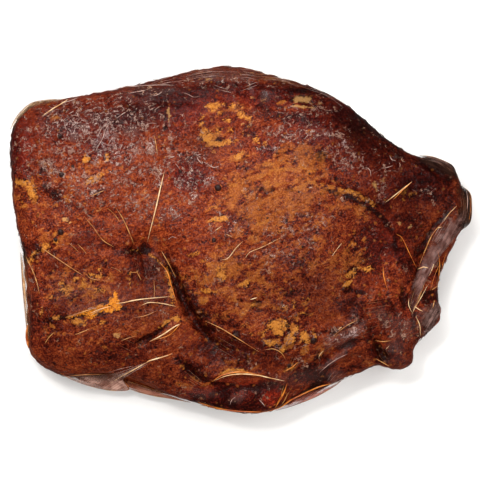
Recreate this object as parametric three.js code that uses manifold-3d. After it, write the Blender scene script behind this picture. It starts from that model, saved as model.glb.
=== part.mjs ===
// Smoked beef brisket in a tight vacuum film, lying on its flat side.
// Millimetres, +Z up. The origin is on the resting face, under the middle of the pack.

import * as THREE from 'three';
import { mergeVertices } from 'three/addons/utils/BufferGeometryUtils.js';
import { ImprovedNoise } from 'three/addons/math/ImprovedNoise.js';
import Module from 'manifold-3d';

const wasm = await Module();
wasm.setup();

// Driving dimensions of the slab
const HALF_LENGTH = 150;
const HALF_WIDTH = 113;
const SLAB_HEIGHT = 47;      // of the plain slab, before its lumps and hollows
const WIDEST_LEVEL = 18;     // height at which the walls stand out furthest
const CUT_BELOW = 6;         // how much of the round underside the flat resting face takes away
const BACK_ROUNDNESS = 2.8;  // exponent of the upper wall: 2 is an ellipse, more is squarer
const LEFT_ROUNDNESS = 4.8;  // the left end was cut straight, so its wall is squarer
const LEFT_SHARPNESS = 4;    // how quickly that wears off on both sides
const BASE_ROUNDNESS = 4.2;  // the same exponent below the widest level
const TOP_FACE_SHARE = 0.86; // share of the radius that the grid of the top face covers
const GRID = { along: 54, across: 41, wall: 6 };

// The plan of the pack, anticlockwise: gathered thin end, back edge, cut left end, front edge
const PLAN = [
  [132, -21], [138.5, -6.5], [143.5, 4], [149.8, 12], [150.6, 26.5], [145.5, 35], [143, 43.5], [132, 52],
  [116, 55], [101, 62.8], [87, 74.5], [69, 89.5], [51, 99], [33, 104.3], [14, 110], [-4, 113.3],
  [-22, 112.3], [-67, 101.7], [-113, 92.5], [-133, 89.5], [-143, 82.5], [-149.3, 70], [-150.5, 55],
  [-147, 16], [-141, -12], [-138, -40], [-138.5, -60], [-137.3, -74], [-129, -83.2], [-113, -90],
  [-79, -89], [-50, -100.5], [-15, -111], [5, -113.6], [25, -111.5], [40, -102.5], [64, -93.5],
  [86, -84], [92, -82], [98, -84.8], [110, -83.5], [115, -77.5], [114, -72.5], [117, -66],
  [125, -59.5], [130.5, -53], [132.3, -45.5], [129.8, -38],
];

// Broad swellings of the top: centre, reach along X and Y, turn in degrees, rise
const SWELLINGS = [
  { at: [40, 2], reach: [82, 58], turn: 20, rise: 10 },     // the fatty plateau, highest of all
  { at: [-92, 38], reach: [46, 40], turn: 0, rise: 3.5 },   // the left end
  { at: [-98, -58], reach: [30, 20], turn: -15, rise: 3 },  // the front left lobe
  { at: [30, -62], reach: [46, 18], turn: 12, rise: 3 },    // the front lobe right of the crevice
  { at: [86, -50], reach: [26, 16], turn: 35, rise: 3.5 },  // the lobe by the lower knob
  { at: [118, 10], reach: [26, 60], turn: 0, rise: -9 },    // the thin end is lower
  { at: [84, -8], reach: [17, 27], turn: 20, rise: -5 },    // hollow under the step of fat
  { at: [-58, -25], reach: [11, 15], turn: 10, rise: -4 },  // striped hollow in front of the pit
  { at: [-60, -5], reach: [9, 8], turn: 0, rise: -9 },      // the pit where the pleats meet
  { at: [93, -70], reach: [8, 8], turn: 0, rise: -6 },      // hollow beside the lower knob
  { at: [-18, -100], reach: [38, 9], turn: 12, rise: -7 },  // the front wall falls away here
  { at: [0, 97], reach: [60, 8], turn: -4, rise: -5 },      // ledge behind the back shoulder
];

// Long rolls and valleys of the top: the line they follow, half width, rise
const FOLDS = [
  { along: [[-120, 72], [-58, 84], [-3, 88], [42, 82], [80, 56]], half: 12, rise: 4.5 },
  { along: [[-50, -9], [-35, -39], [-26, -58], [-14, -70]], half: 11, rise: -5 },
  { along: [[57, 31], [78, 23], [98, 10], [105, -12]], half: 6, rise: 2.2 },
  { along: [[138, 22], [125, 5], [116, -17], [111, -46]], half: 8, rise: -5 },
  { along: [[-16, -90], [2, -85], [30, -90]], half: 6, rise: 2.5 },
];

// Narrow crevices cut into the top: the line they follow, half width, depth
const CREVICES = [
  { along: [[-58, -7], [-46, -17], [-38, -35], [-31, -50], [-20, -64], [-11, -72]], half: 3.6, deep: 7 },
  { along: [[-39, -77], [-28, -88], [-18, -94]], half: 2.2, deep: 4 },
  { along: [[-69, -71], [-51, -58]], half: 2.2, deep: 4 },
  { along: [[87, -64], [91, -74], [99, -82]], half: 2.4, deep: 6 },
  { along: [[127, 8], [117, -16], [111, -44]], half: 2.2, deep: 4 },
  { along: [[-47, 92], [-45, 70]], half: 1.6, deep: 3 },
];

// Film that stands clear of the meat as a flat margin: its edge in plan and its level
const FILM = 1.3;
const FLAPS = [
  { level: 9, edge: [[-104, -80], [-113, -89.5], [-100, -94.2], [-90, -96.8], [-81, -98.4],
    [-71, -97.6], [-58, -101], [-39, -104], [-27, -106.3], [-32, -96], [-58, -88], [-78, -80]] },
  { level: 12, edge: [[68.5, -88], [60, -96.3], [51, -101.6], [42, -105.7], [32, -109.2],
    [22, -111.6], [26, -100], [45, -92], [62, -84]] },
  { level: 20, edge: [[-133, -8], [-142, -10], [-140.7, -33], [-138.9, -55], [-138, -66], [-130, -64]] },
  { level: 21, edge: [[118, 48], [121, 54.6], [133.5, 52.4], [142, 46], [144.5, 36], [150.6, 27.5],
    [150.4, 17], [146, 7], [138, 0], [130, 10], [128, 36]] },
  { level: 24, edge: [[-128, 82], [-143, 83], [-136, 89.2], [-125, 91.4], [-111, 92.6], [-112, 85]] },
];

// Pleats of film drawn tight over the meat, as thin ridges: the line and the thickness
const PLEAT = 1.15;
const PLEAT_SINK = 0.35;
const PLEATS = [
  [[-48, 35], [-56, 13], [-59.5, -1]],
  [[-79, 20], [-74, 12], [-67, -3]],
  [[-98, 14], [-89, 3], [-81, -5]],
  [[-127, -6], [-114, -14], [-100, -23]],
  [[-112, -50], [-78, -41], [-45, -37.5]],
  [[-58, -65], [-49, -59], [-38, -54]],
  [[-82, -90], [-58, -78], [-43, -74]],
  [[-22, -52], [-4, -63], [12, -72]],
  [[-17, -91], [1, -86], [29, -91]],
  [[26, -106], [34, -93]],
  [[52, -86], [66, -76], [73, -72]],
  [[95, 24], [103, 31], [111, 37]],
  [[104, 1], [110, -8], [115, -18]],
  [[-51, -9], [-46, -20], [-42, -40]],
];

// Coarse grains of spice pressed under the film, where they lie and how big they are
const GRAINS = [
  [-14, 33, 2.4], [-16.5, 0, 1.8], [-116, 66.5, 2], [-115, 42, 2.2], [-115.5, 5, 2.6],
  [-118.5, 0, 1.8], [101.5, 53.5, 1.8], [-2, -61.5, 1.8], [47.5, -65, 2.6], [32, -81.5, 2],
];

// Random unevenness of the top: size of a bump, rise, and layer of the noise
const UNEVENNESS = [
  { size: 34, rise: 2.2, layer: 0.3 },
  { size: 13, rise: 1.1, layer: 7.7 },
];

// Dents and bulges of the wall: how many round and up, depth, layer of the noise
const WALL_DENTS = { round: 5, up: 1.25, depth: 5, layer: 3.1 };

const MEAT_FINISH = { color: 0x6b2d15, roughness: 0.32, metalness: 0 };

// The radius of the plan in each direction

const STEPS_ROUND = 720;
const POINTS_A_STEP = 8;

function planRadii() {
  const corners = PLAN.map(([x, y]) => new THREE.Vector3(x, y, 0));
  const curve = new THREE.CatmullRomCurve3(corners, true, 'centripetal');
  const radii = new Array(STEPS_ROUND).fill(0);
  for (const p of curve.getPoints(STEPS_ROUND * POINTS_A_STEP)) {
    radii[stepOf(Math.atan2(p.y, p.x))] = Math.hypot(p.x, p.y);
  }
  return radii;
}

function stepOf(angle) {
  const turns = angle / (2 * Math.PI);
  return Math.floor((turns - Math.floor(turns)) * STEPS_ROUND) % STEPS_ROUND;
}

const RADII = planRadii();

function planRadius(angle) {
  const turns = angle / (2 * Math.PI) - Math.floor(angle / (2 * Math.PI));
  const place = turns * STEPS_ROUND - 0.5;
  const low = (Math.floor(place) + STEPS_ROUND) % STEPS_ROUND;
  const high = (low + 1) % STEPS_ROUND;
  return THREE.MathUtils.lerp(RADII[low], RADII[high], place - Math.floor(place));
}

// Relief of the top

function bell(distance) {
  return Math.exp(-distance * distance);
}

function swelling(x, y, { at, reach, turn, rise }) {
  const angle = THREE.MathUtils.degToRad(turn);
  const dx = x - at[0];
  const dy = y - at[1];
  const along = (dx * Math.cos(angle) + dy * Math.sin(angle)) / reach[0];
  const across = (dy * Math.cos(angle) - dx * Math.sin(angle)) / reach[1];
  return rise * bell(Math.hypot(along, across));
}

function distanceToLine(x, y, line) {
  const point = new THREE.Vector3(x, y, 0);
  const nearest = new THREE.Vector3();
  let shortest = Infinity;
  for (let i = 1; i < line.length; i += 1) {
    const part = new THREE.Line3(new THREE.Vector3(...line[i - 1], 0), new THREE.Vector3(...line[i], 0));
    part.closestPointToPoint(point, true, nearest);
    shortest = Math.min(shortest, nearest.distanceTo(point));
  }
  return shortest;
}

function fold(x, y, { along, half, rise }) {
  return rise * bell(distanceToLine(x, y, along) / half);
}

const noise = new ImprovedNoise();

function unevenness(x, y) {
  let sum = 0;
  for (const { size, rise, layer } of UNEVENNESS) {
    sum += rise * noise.noise(x / size, y / size, layer);
  }
  return sum;
}

function topLevel(x, y) {
  let level = SLAB_HEIGHT + unevenness(x, y);
  for (const one of SWELLINGS) {
    level += swelling(x, y, one);
  }
  for (const one of FOLDS) {
    level += fold(x, y, one);
  }
  return level;
}

// Height of the wall's profile at a share of the radius, from 1 in the middle to 0 at the edge
function profile(share, roundness) {
  return Math.pow(Math.max(0, 1 - Math.pow(share, roundness)), 1 / roundness);
}

function topRoundness(angle) {
  const towardsLeft = Math.max(0, -Math.cos(angle));
  return THREE.MathUtils.lerp(BACK_ROUNDNESS, LEFT_ROUNDNESS, Math.pow(towardsLeft, LEFT_SHARPNESS));
}

function surfaceLevel(x, y) {
  const angle = Math.atan2(y, x);
  const share = Math.min(1, Math.hypot(x, y) / planRadius(angle));
  return WIDEST_LEVEL + (topLevel(x, y) - WIDEST_LEVEL) * profile(share, topRoundness(angle));
}

// Turning a three.js geometry into a solid and back

const SAME_POINT = 1e-4;

function solidOf(geometry) {
  const plain = geometry.clone();
  plain.deleteAttribute('normal');
  plain.deleteAttribute('uv');
  const merged = mergeVertices(plain, SAME_POINT);
  const mesh = new wasm.Mesh({
    numProp: 3,
    vertProperties: new Float32Array(merged.attributes.position.array),
    triVerts: new Uint32Array(merged.index.array),
  });
  return new wasm.Manifold(mesh);
}

function geometryOf(solid) {
  const mesh = solid.getMesh();
  const geometry = new THREE.BufferGeometry();
  geometry.setAttribute('position', new THREE.BufferAttribute(mesh.vertProperties, 3));
  geometry.setIndex(new THREE.BufferAttribute(mesh.triVerts, 1));
  geometry.computeVertexNormals();
  return geometry;
}

// The slab: a box of even squares, rounded over the plan

function moveVertices(geometry, place) {
  const positions = geometry.attributes.position;
  const vertex = new THREE.Vector3();
  for (let i = 0; i < positions.count; i += 1) {
    vertex.fromBufferAttribute(positions, i);
    place(vertex);
    positions.setXYZ(i, vertex.x, vertex.y, vertex.z);
  }
}

// Share of the radius for a level of the box's wall, from 0 at the widest to 1 at a face
function wallShare(level, roundness) {
  const widest = Math.acos(Math.pow(TOP_FACE_SHARE, roundness / 2));
  return Math.pow(Math.cos(widest * level), 2 / roundness);
}

// The dents fade out on the top and towards the widest level
const DENT_FADE = 6;

function wallDent(angle, level, share) {
  const { round, up, depth, layer } = WALL_DENTS;
  const dent = depth * noise.noise(round * Math.cos(angle), round * Math.sin(angle), level * up + layer);
  return dent * Math.pow(share, DENT_FADE) * Math.abs(level);
}

function roundOver(vertex) {
  const ring = Math.max(Math.abs(vertex.x), Math.abs(vertex.y));
  const angle = Math.atan2(vertex.y * HALF_WIDTH, vertex.x * HALF_LENGTH);
  const upper = vertex.z > 0;
  const roundness = upper ? topRoundness(angle) : BASE_ROUNDNESS;
  const share = ring < 1 ? ring * TOP_FACE_SHARE : wallShare(Math.abs(vertex.z), roundness);
  const radius = share * planRadius(angle) + wallDent(angle, vertex.z, share);
  const x = radius * Math.cos(angle);
  const y = radius * Math.sin(angle);
  const reach = upper ? topLevel(x, y) - WIDEST_LEVEL : -(WIDEST_LEVEL + CUT_BELOW);
  vertex.set(x, y, WIDEST_LEVEL + reach * profile(share, roundness));
}

function slab() {
  const box = new THREE.BoxGeometry(2, 2, 2, GRID.along, GRID.across, GRID.wall);
  moveVertices(box, roundOver);
  return solidOf(box);
}

// Film margins, pleats and grains

function flap({ level, edge }) {
  const corners = edge.map(([x, y]) => new THREE.Vector2(x, y));
  const outline = new THREE.Shape(corners);
  const plate = new THREE.ExtrudeGeometry(outline, { depth: FILM, bevelEnabled: false });
  plate.translate(0, 0, level);
  return solidOf(plate);
}

const NEEDLE_SIDES = 5;
const NEEDLE_STEP = 9;
const FEWEST_STEPS = 4;

// A needle, pointed at both ends and bent along a line on the surface
function needle(line, half, deep, sink) {
  const curve = new THREE.CatmullRomCurve3(line.map(([x, y]) => new THREE.Vector3(x, y, 0)));
  const steps = Math.max(FEWEST_STEPS, Math.round(curve.getLength() / NEEDLE_STEP));
  const outline = [];
  for (let i = 0; i <= steps; i += 1) {
    const thickness = i === 0 || i === steps ? 0 : Math.sqrt(Math.sin(Math.PI * i / steps));
    outline.push(new THREE.Vector2(thickness, i / steps));
  }
  const geometry = new THREE.LatheGeometry(outline, NEEDLE_SIDES);
  moveVertices(geometry, (vertex) => {
    const foot = curve.getPointAt(THREE.MathUtils.clamp(vertex.y, 0, 1));
    const ahead = curve.getTangentAt(THREE.MathUtils.clamp(vertex.y, 0, 1));
    const side = vertex.x * half;
    const level = surfaceLevel(foot.x, foot.y) + vertex.z * deep - sink;
    vertex.set(foot.x + ahead.y * side, foot.y - ahead.x * side, level);
  });
  return solidOf(geometry);
}

function pleat(line) {
  return needle(line, PLEAT, PLEAT, PLEAT_SINK);
}

function crevice({ along, half, deep }) {
  return needle(along, half, deep, 0);
}

const GRAIN_FLATNESS = 0.7;

function grain([x, y, size]) {
  const stone = new THREE.IcosahedronGeometry(size, 0);
  stone.scale(1, 1, GRAIN_FLATNESS);
  stone.rotateZ(x + y);
  stone.translate(x, y, surfaceLevel(x, y));
  return solidOf(stone);
}

// The flat face that the pack rests on
function restingCut(solid) {
  const below = new THREE.BoxGeometry(4 * HALF_LENGTH, 4 * HALF_WIDTH, 2 * CUT_BELOW);
  below.translate(0, 0, -CUT_BELOW);
  return solid.subtract(solidOf(below));
}

// The origin is under the middle of the pack's box
function centred(geometry) {
  geometry.computeBoundingBox();
  const middle = geometry.boundingBox.getCenter(new THREE.Vector3());
  return geometry.translate(-middle.x, -middle.y, 0);
}

function packedBrisket() {
  let solid = slab();
  for (const one of CREVICES) {
    solid = solid.subtract(crevice(one));
  }
  for (const addition of [...FLAPS.map(flap), ...PLEATS.map(pleat), ...GRAINS.map(grain)]) {
    solid = solid.add(addition);
  }
  const material = new THREE.MeshStandardMaterial(MEAT_FINISH);
  const mesh = new THREE.Mesh(centred(geometryOf(restingCut(solid))), material);
  mesh.name = 'packed_brisket';
  return mesh;
}

const brisket = new THREE.Group();
brisket.add(packedBrisket());

export default brisket;
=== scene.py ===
# %% [markdown]
# # A smoked brisket in its vacuum film
#
# The object is a slab of smoked beef that lies in clear film. The air has been drawn out, so the film
# clings to the meat and stands off only at its margins, in its pleats and over hollows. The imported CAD
# model is the frame: it fixes where everything is, and this lesson dresses it.

import math
import random

import bmesh
import bpy
import numpy as np
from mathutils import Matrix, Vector, noise
from mathutils.bvhtree import BVHTree


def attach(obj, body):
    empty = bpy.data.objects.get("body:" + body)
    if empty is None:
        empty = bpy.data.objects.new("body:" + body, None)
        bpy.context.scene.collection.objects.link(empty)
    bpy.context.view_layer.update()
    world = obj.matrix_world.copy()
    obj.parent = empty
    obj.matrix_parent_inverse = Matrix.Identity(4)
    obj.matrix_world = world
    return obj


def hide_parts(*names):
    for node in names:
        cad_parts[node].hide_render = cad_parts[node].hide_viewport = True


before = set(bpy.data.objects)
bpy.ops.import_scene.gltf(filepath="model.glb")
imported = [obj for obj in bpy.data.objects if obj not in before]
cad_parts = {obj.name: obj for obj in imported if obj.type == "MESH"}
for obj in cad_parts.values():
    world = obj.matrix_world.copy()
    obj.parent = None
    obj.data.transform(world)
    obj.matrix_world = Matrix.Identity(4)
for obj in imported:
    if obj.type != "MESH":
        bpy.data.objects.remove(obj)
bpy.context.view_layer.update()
PACK = "packed_brisket"

# %% [markdown]
# ## Places read from the photograph
#
# The photograph looks straight down on the slab, so a place in it is a place in plan. Places below are
# written as its pixels, because that is how they were read, and one function turns them into metres in
# the frame. One pixel is 0.65 mm on the object.

# %% From a pixel to the frame
MM = 0.001
PIXEL = 0.65 * MM
MIDDLE_X, MIDDLE_Y = 240.25, 239.65


def plan(x, y):
    """The place in plan, in metres, of a pixel of the photograph."""
    return (x - MIDDLE_X) * PIXEL, (MIDDLE_Y - y) * PIXEL


print("the slab's left edge in plan:", plan(8, 150))

# %% [markdown]
# ## The camera and the light
#
# The picture was taken from above with a long lens, so parallel edges stay parallel. A lens of 400 mm
# from 3.5 m up does the same, and keeps each place under the pixel it was read from. The studio light
# comes from behind on the left, which is why the back shoulder glitters and the front looks deeper in
# colour. Part of that glitter is painted glints on the film, and part of that depth is painted shade on
# the bark.

# %% Camera
SENSOR = 36 * MM
LENS = 400 * MM
PHOTO_PIXELS = 480
WIDEST_LEVEL = 18 * MM
camera_data = bpy.data.cameras.new("studio_camera")
camera_data.sensor_width = SENSOR / MM
camera_data.lens = LENS / MM
camera = bpy.data.objects.new("studio_camera", camera_data)
camera_height = WIDEST_LEVEL + PHOTO_PIXELS * PIXEL * LENS / SENSOR
camera.location = (*plan(PHOTO_PIXELS / 2, PHOTO_PIXELS / 2), camera_height)
bpy.context.scene.collection.objects.link(camera)
bpy.context.scene.camera = camera
bpy.context.scene.view_settings.view_transform = "Standard"
print("camera height in mm:", round(camera_height / MM))

# %% Lights: square softboxes, with place and side in metres, watts, and whether one leaves a reflection
TARGET = Vector((0, 0, 30 * MM))
SOFTBOXES = {
    "key_from_back_left": ((-0.4, 0.75, 0.9), 1.1, 20, True),
    "fill_from_right": ((0.95, 0.1, 0.8), 1.0, 10, False),
    "fill_from_front": ((-0.3, -1.0, 0.8), 1.0, 9, False),
    "glint_from_back_left": ((-0.35, 0.45, 1.3), 0.14, 4, True),
    "glint_from_front_right": ((0.5, -0.3, 1.3), 0.14, 3, True),
}
WHITE, ROOM_LIGHT = (1, 1, 1, 1), 0.11
for name, (place, side, watts, mirrored) in SOFTBOXES.items():
    data = bpy.data.lights.new(name, "AREA")
    data.shape, data.size, data.energy = "SQUARE", side, watts
    light = bpy.data.objects.new(name, data)
    light.location, light.visible_glossy = place, mirrored
    light.rotation_euler = (TARGET - Vector(place)).to_track_quat("-Z", "Y").to_euler()
    bpy.context.scene.collection.objects.link(light)
world = bpy.data.worlds.new("studio")
world.use_nodes = True
room = world.node_tree.nodes["Background"].inputs
room["Color"].default_value, room["Strength"].default_value = WHITE, ROOM_LIGHT
bpy.context.scene.world = world
print("lights:", list(SOFTBOXES))

# %% [markdown]
# ## Finding the meat inside the pack
#
# The CAD solid has the film's thin margins and pleats fused on. The meat is what is left when those are
# dropped. Shrinking the solid by more than half their thickness makes them vanish, and growing it back
# restores the rest, as a sculptor opens a shape. Displace moves the surface along its normals and a
# voxel remesh mends it after each step, into even squares that take fine relief.

# %% Mesh helpers
VOXEL = 1.3 * MM
MERGE_REACH = 0.001 * MM


def new_object(name, mesh):
    """An object at the origin, linked to the scene."""
    made = bpy.data.objects.new(name, mesh)
    bpy.context.scene.collection.objects.link(made)
    return made


def modify(thing, kind, **settings):
    """Adds a modifier and writes its result into the object's own mesh."""
    modifier = thing.modifiers.new(kind.lower(), kind)
    for key, value in settings.items():
        setattr(modifier, key, value)
    graph = bpy.context.evaluated_depsgraph_get()
    mesh = bpy.data.meshes.new_from_object(thing.evaluated_get(graph))
    thing.modifiers.clear()
    thing.data = mesh


def mesh_from(bm, name):
    """A mesh of what a bmesh holds, which is then let go."""
    mesh = bpy.data.meshes.new(name)
    bm.to_mesh(mesh)
    bm.free()
    return mesh


def merged_copy(node):
    """A copy of a CAD node's mesh with its loose triangles joined."""
    bm = bmesh.new()
    bm.from_mesh(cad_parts[node].data)
    bmesh.ops.remove_doubles(bm, verts=bm.verts, dist=MERGE_REACH)
    return mesh_from(bm, node + "_copy")


def opened(name, shrink, grow):
    """The pack without what is thinner than twice the shrink, grown back by the second amount."""
    thing = new_object(name, merged_copy(PACK))
    modify(thing, "REMESH", mode="VOXEL", voxel_size=VOXEL)
    for shift in (-shrink, grow):
        modify(thing, "DISPLACE", strength=shift, mid_level=0)
        modify(thing, "REMESH", mode="VOXEL", voxel_size=VOXEL)
    return thing


print("voxels of", round(VOXEL / MM, 1), "mm")

# %% The meat's body and the film's body
SHRINK = 1.6 * MM
FILM_GAP = 0.6 * MM
brisket = opened("smoked_brisket", SHRINK, SHRINK - FILM_GAP)
film = opened("vacuum_film", SHRINK, SHRINK)
for thing in (brisket, film):
    print(thing.name, "has", len(thing.data.polygons), "faces")

# %% [markdown]
# ## Reading and writing a mesh as arrays
#
# The relief and the painted patches are worked out for some 90,000 points at a time, so the points are
# read into an array, changed and written back. A pattern is given by its size and by a seed, which is
# how far off the noise is read, so that no two patterns are alike.

# %% Array helpers
DETAIL_FALL, DETAIL_STEP = 0.9, 2.1


def read(thing, field):
    """The object's points in metres, by the field's name co, or the normals there, by the name normal."""
    flat = np.empty(3 * len(thing.data.vertices), np.float32)
    thing.data.vertices.foreach_get(field, flat)
    return flat.reshape(-1, 3).astype(float)


def write_attribute(thing, name, values):
    """Keeps one number a point, for the materials."""
    layer = thing.data.attributes.new(name, "FLOAT", "POINT")
    layer.data.foreach_set("value", values.astype(np.float32))


def bumps(points, size, seed, octaves=3):
    """Smooth noise at each point, about -1 to 1, for bumps of one size in metres along each axis."""
    scaled = points / np.asarray(size) + seed
    return np.array([noise.fractal(p, DETAIL_FALL, DETAIL_STEP, octaves) for p in scaled])


apart = np.array([[x * MM, 0, 0] for x in (0, 2, 4)])
print("bumps of 6 mm, at places 2 mm apart:", bumps(apart, 6 * MM, 1.5).round(2))

# %% [markdown]
# ## Paint: patches and lines
#
# Fat, dark bark, whitish crinkles and standing-off film lie where the photograph shows them. Part of the
# dark and of the smoke paint is painted shade in hollows, creases and at the edges, the whitish crinkles
# are painted glints, and the veil of standing-off film is partly painted sheen. Each kind of paint is a
# list of ellipses, given by their middle, half sizes, turn and strength, and of lines with a half width.
# The paint is soft here, and the materials break its edges up with noise.

# %% Painting helpers
SOFT_SPREAD, SOFT_FALL = 1.3, 0.7
FAR = 1.0
OTHER_AXIS_SEED = 40


def ellipse_paint(points, patches):
    """The strongest of some elliptical patches at each point: middle, half sizes, turn and strength."""
    paint = np.zeros(len(points))
    for x, y, half_x, half_y, turn, strength in patches:
        cx, cy = plan(x, y)
        dx, dy = points[:, 0] - cx, points[:, 1] - cy
        c, s = math.cos(math.radians(turn)), math.sin(math.radians(turn))
        u = (dx * c + dy * s) / (half_x * PIXEL)
        v = (dy * c - dx * s) / (half_y * PIXEL)
        paint = np.maximum(paint, strength * np.exp(-((u * u + v * v) ** 2)))
    return paint


def soft_paint(points, patches):
    """Soft patches added up at each point, lighter ones above nought and darker ones below."""
    paint = np.zeros(len(points))
    for x, y, half_x, half_y, turn, strength in patches:
        single = ellipse_paint(points, [(x, y, SOFT_SPREAD * half_x, SOFT_SPREAD * half_y, turn, 1)])
        paint += strength * single ** SOFT_FALL
    return paint


def line_distance(points, line):
    """The distance in plan from each point to a line of pixels, in metres."""
    nearest = np.full(len(points), FAR)
    corners = [np.array(plan(*corner)) for corner in line]
    for start, end in zip(corners, corners[1:]):
        along = end - start
        share = np.clip((points[:, :2] - start) @ along / (along @ along), 0, 1)
        away = points[:, :2] - start - share[:, None] * along
        nearest = np.minimum(nearest, np.hypot(away[:, 0], away[:, 1]))
    return nearest


def line_paint(points, lines):
    """The strongest of some painted lines at each point: places, half width and strength."""
    paint = np.zeros(len(points))
    for line, half, strength in lines:
        paint = np.maximum(paint, strength * np.exp(-((line_distance(points, line) / (half * PIXEL)) ** 4)))
    return paint


def wander(points, reach, size, seed):
    """The points shifted at random in plan, so that painted edges aren't smooth."""
    moved = points.copy()
    moved[:, 0] += reach * bumps(points, size, seed)
    moved[:, 1] += reach * bumps(points, size, seed + OTHER_AXIS_SEED)
    return moved


across = np.array([[*plan(x, 0), 0] for x in (0, 10, 20)])
print("paint from a patch's middle over its edge:", ellipse_paint(across, [(0, 0, 10, 10, 0, 1)]).round(2))

# %% Zones where fat shows through the bark, as mottling
FAT = [
    (275, 195, 75, 45, 5, 0.62), (240, 285, 70, 45, 0, 0.50), (300, 245, 60, 50, 0, 0.42),
    (60, 205, 52, 45, 0, 0.30), (80, 285, 45, 26, 0, 0.50), (100, 330, 60, 22, 0, 0.34), (225, 125, 34, 28, 0, 0.3),
    (300, 160, 40, 22, 0, 0.66), (285, 325, 40, 28, 0, 0.34), (345, 262, 30, 18, 0, 0.52),
    (150, 205, 26, 24, 0, 0.26), (345, 210, 34, 12, -20, 0.5), (225, 268, 28, 18, 15, 0.66),
    (25, 190, 16, 20, 0, 0.55), (55, 240, 22, 14, 20, 0.5), (235, 365, 34, 8, 0, 0.5), (315, 355, 20, 10, 40, 0.45),
    (405, 190, 12, 8, 0, 0.2), (372, 366, 16, 6, -20, 0.4), (185, 384, 16, 6, -20, 0.5), (240, 158, 12, 7, 15, 0.7),
    (256, 225, 40, 22, 10, 0.6), (130, 330, 24, 10, 0, 0.4), (90, 165, 30, 22, 0, 0.35),
    (195, 290, 24, 18, 0, 0.45), (420, 225, 16, 26, 0, 0.08), (55, 118, 10, 6, 0, 0.5), (395, 285, 16, 34, 0, 0.25),
    (226, 108, 26, 7, 0, 0.66),
]
print(len(FAT), "zones of fat")

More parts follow.
